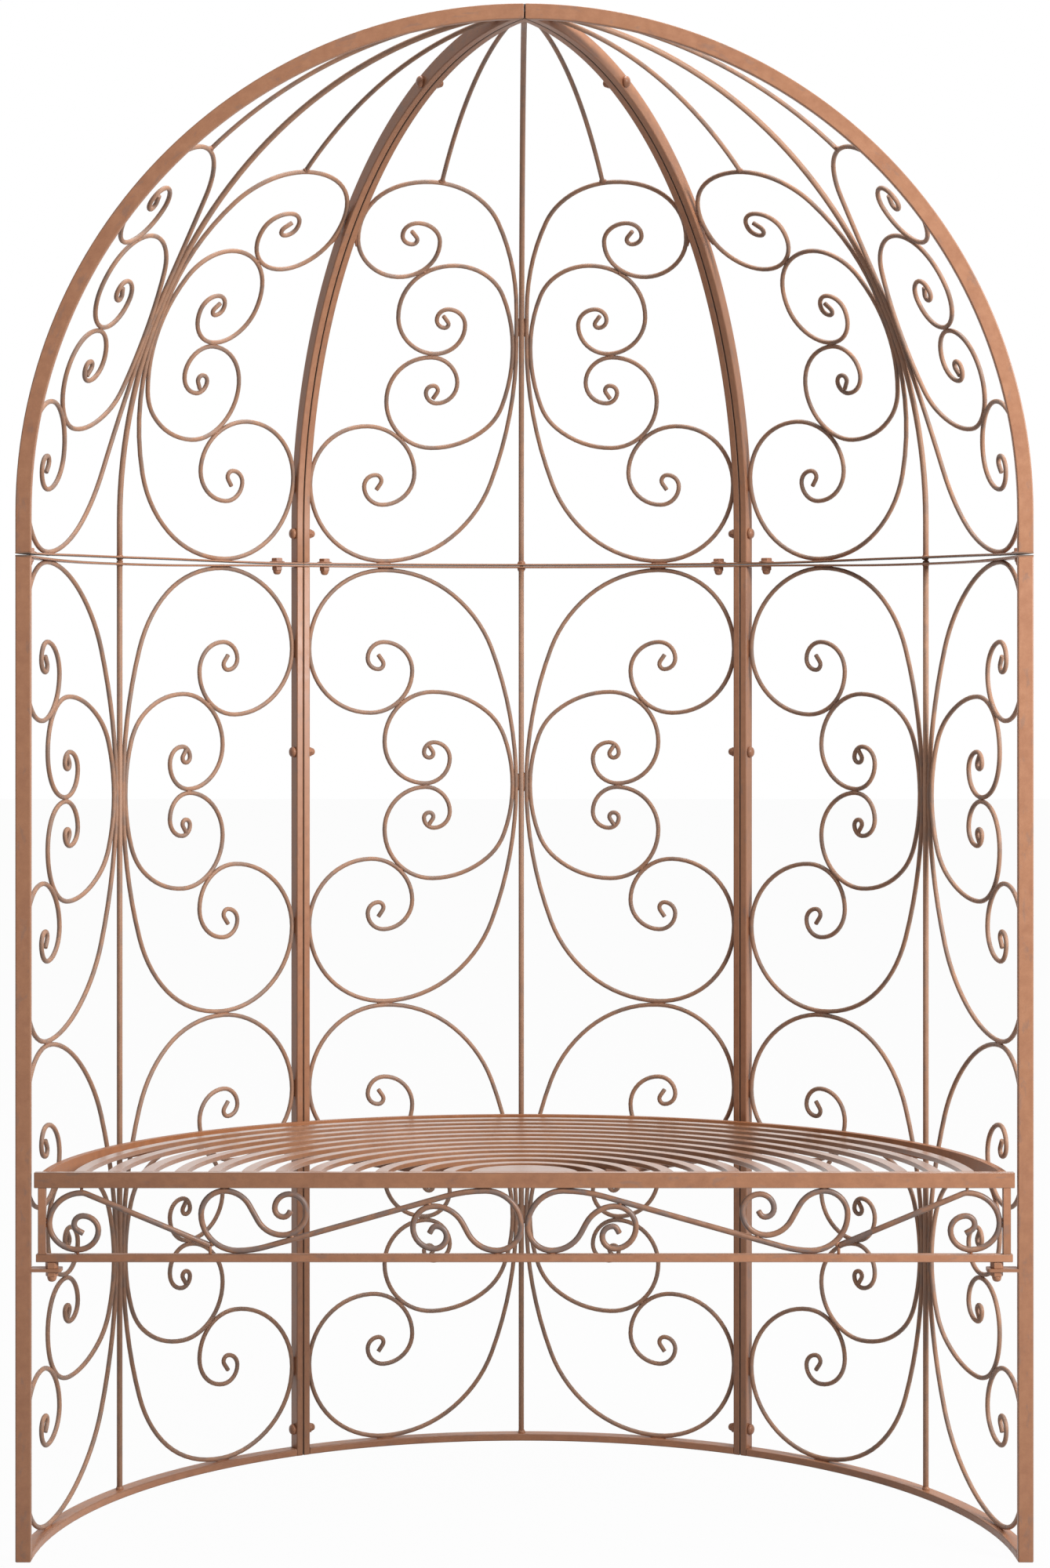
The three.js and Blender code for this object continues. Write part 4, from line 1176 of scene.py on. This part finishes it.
def apron_scrollwork(hand, welds):
    low = APRON_LOW + CLEARANCE + APRON_RADIUS
    high = APRON_HIGH - CLEARANCE - APRON_RADIUS
    reach = APRON_BAY * LONG_SCROLL_REACH
    drawing = np.vstack([flat_run(**LONG_SCROLL_OUTER)[:0:-1], flat_run(**LONG_SCROLL_INNER)])
    long = fitted(drawing, reach, APRON_RADIUS + CLEARANCE, low, high)
    long_points = on_apron(*long.T)[0]

    def end_from(inner):
        return fitted(flat_run(**END_SCROLL), APRON_BAY - CLEARANCE - APRON_RADIUS, inner,
                      low + END_SCROLL_LIFT, high - END_SCROLL_DROP)

    def gap_at(inner):
        return least_gap(on_apron(*end_from(inner)[:2].T)[0], long_points)[0]

    start = where_they_meet(reach + 2 * APRON_RADIUS, reach - END_SCROLL_SEARCH, APRON_RADIUS, gap_at)
    end = end_from(start)
    shape = Shape()
    for places in (long, end):
        points, outward = on_apron(places[:, 0] * hand, places[:, 1])
        shape.merge(rod(points, outward, APRON_RADIUS, APRON_ROD_SIDES))
    for level, way in ((low, -1), (high, 1)):
        for across in merged_spots(long[np.isclose(long[:, 1], level), 0]):
            welds.bead((across * hand, FRONT_Y, level + way * APRON_RADIUS), (1, 0, 0), "apron_rail")
    lowest, highest = end[end[:, 1].argmin()], end[end[:, 1].argmax()]
    for (across, up), face in ((lowest, APRON_LOW), (highest, APRON_HIGH), (end[0], APRON_LOW)):
        x = across * hand
        welds.merge(straight_rod((x, FRONT_Y, up), (x, FRONT_Y, face), PIN_RADIUS))
    outermost = end[end[:, 0].argmax()]
    for lift in END_BEAD_LIFTS:
        welds.bead((APRON_BAY * hand, FRONT_Y, outermost[1] + lift), (0, 0, 1), "apron_end")
    for spot in [contact_spot(end[:2], long)] + near_touches(long):
        welds.bead(spot * np.array([hand, 1, 1]), (hand, 0, 1), "apron_touch")
    welds.bead((APRON_BAR_X * hand, FRONT_Y, APRON_HIGH), (1, 0, 0), "apron_bar")
    return shape.in_row()


for hand, side in ((1, "right"), (-1, "left")):
    apron_welds = Welds()
    apron_scrollwork(hand, apron_welds).show_node(f"apron_{side}_scrollwork")
    apron_welds.in_row().show(f"apron_{side}_welds", materials["weld"], "frame_paint")


# Stage, lights and camera

FLOOR_SIZE = 40
FLOOR_COLOUR = (0.42, 0.42, 0.42, 1)
FLOOR_ROUGHNESS = 0.9
FLOOR_WHITE_SHARE = 0.97
WORLD_STRENGTH = 0.24
LAMP_TARGET = (0, 0, 1.0)
CAMERA_DISTANCE = 4.15
CAMERA_HEIGHT = 1.1795
CAMERA_SIDE = -0.03
CAMERA_REACH = 100
PICTURE_WIDTH_PX = 1339
PICTURE_HEIGHT_PX = 2000
FRONT_MIDDLE_PX = 668.75
HORIZON_PX = 820
METRES_PER_PX = 0.0010055
SENSOR = 36

# Each lamp's name, place, diameter and power
LAMPS = [("key", (2.9, -2.45, 2.35), 1.4, 186), ("top", (0.2, 0.3, 4.6), 2.6, 120)]


def white_where_seen(tree, shader, share):
    """The shader, with plain white mixed in where the camera looks at it directly or in a reflection."""
    path = new_node(tree, "ShaderNodeLightPath")
    seen = combined(tree, "MAXIMUM", path.outputs["Is Camera Ray"], path.outputs["Is Glossy Ray"])
    seen = combined(tree, "MAXIMUM", seen, path.outputs["Is Transmission Ray"])
    glow = new_node(tree, "ShaderNodeEmission")
    mix = new_node(tree, "ShaderNodeMixShader")
    tree.links.new(combined(tree, "MULTIPLY", seen, share), mix.inputs[0])
    tree.links.new(shader, mix.inputs[1])
    tree.links.new(glow.outputs[0], mix.inputs[2])
    return mix.outputs[0]


def make_floor():
    mesh = bpy.data.meshes.new("floor")
    half = FLOOR_SIZE / 2
    corners = [(-half, -half, 0), (half, -half, 0), (half, half, 0), (-half, half, 0)]
    mesh.from_pydata(corners, [], [(0, 1, 2, 3)])
    floor = new_object("floor", mesh)
    material, tree, shader = new_material("pale_floor")
    set_inputs(shader, {"Base Color": FLOOR_COLOUR, "Roughness": FLOOR_ROUGHNESS, "Specular IOR Level": 0})
    surface = white_where_seen(tree, shader.outputs[0], FLOOR_WHITE_SHARE)
    tree.links.new(surface, tree.nodes["Material Output"].inputs["Surface"])
    mesh.materials.append(material)


def make_world():
    world = bpy.data.worlds.new("studio")
    world.use_nodes = True
    tree = world.node_tree
    tree.nodes.clear()
    soft = new_node(tree, "ShaderNodeBackground")
    set_inputs(soft, {"Color": (1, 1, 1, 1), "Strength": WORLD_STRENGTH})
    out = new_node(tree, "ShaderNodeOutputWorld")
    tree.links.new(white_where_seen(tree, soft.outputs[0], 1.0), out.inputs["Surface"])
    bpy.context.scene.world = world


def make_lamp(name, place, size, power):
    lamp = bpy.data.lights.new(name, "AREA")
    lamp.shape = "DISK"
    lamp.size = size
    lamp.energy = power
    holder = new_object(name, lamp)
    holder.location = place
    holder.rotation_euler = (Vector(LAMP_TARGET) - Vector(place)).to_track_quat("-Z", "Y").to_euler()


def make_camera():
    data = bpy.data.cameras.new("camera")
    data.sensor_fit = "VERTICAL"
    data.sensor_height = SENSOR
    data.sensor_width = SENSOR
    data.lens = SENSOR * CAMERA_DISTANCE / (PICTURE_HEIGHT_PX * METRES_PER_PX)
    axis_px = FRONT_MIDDLE_PX + CAMERA_SIDE / METRES_PER_PX
    data.shift_x = (PICTURE_WIDTH_PX / 2 - axis_px) / PICTURE_HEIGHT_PX
    data.shift_y = (HORIZON_PX - PICTURE_HEIGHT_PX / 2) / PICTURE_HEIGHT_PX
    data.clip_end = CAMERA_REACH
    camera = new_object("camera", data)
    camera.location = (CAMERA_SIDE, RING_Y + FRONT_EDGE - CAMERA_DISTANCE, CAMERA_HEIGHT)
    camera.rotation_euler = (pi / 2, 0, 0)
    bpy.context.scene.camera = camera


make_floor()
make_world()
for lamp in LAMPS:
    make_lamp(*lamp)
make_camera()
bpy.context.scene.view_settings.view_transform = "Standard"
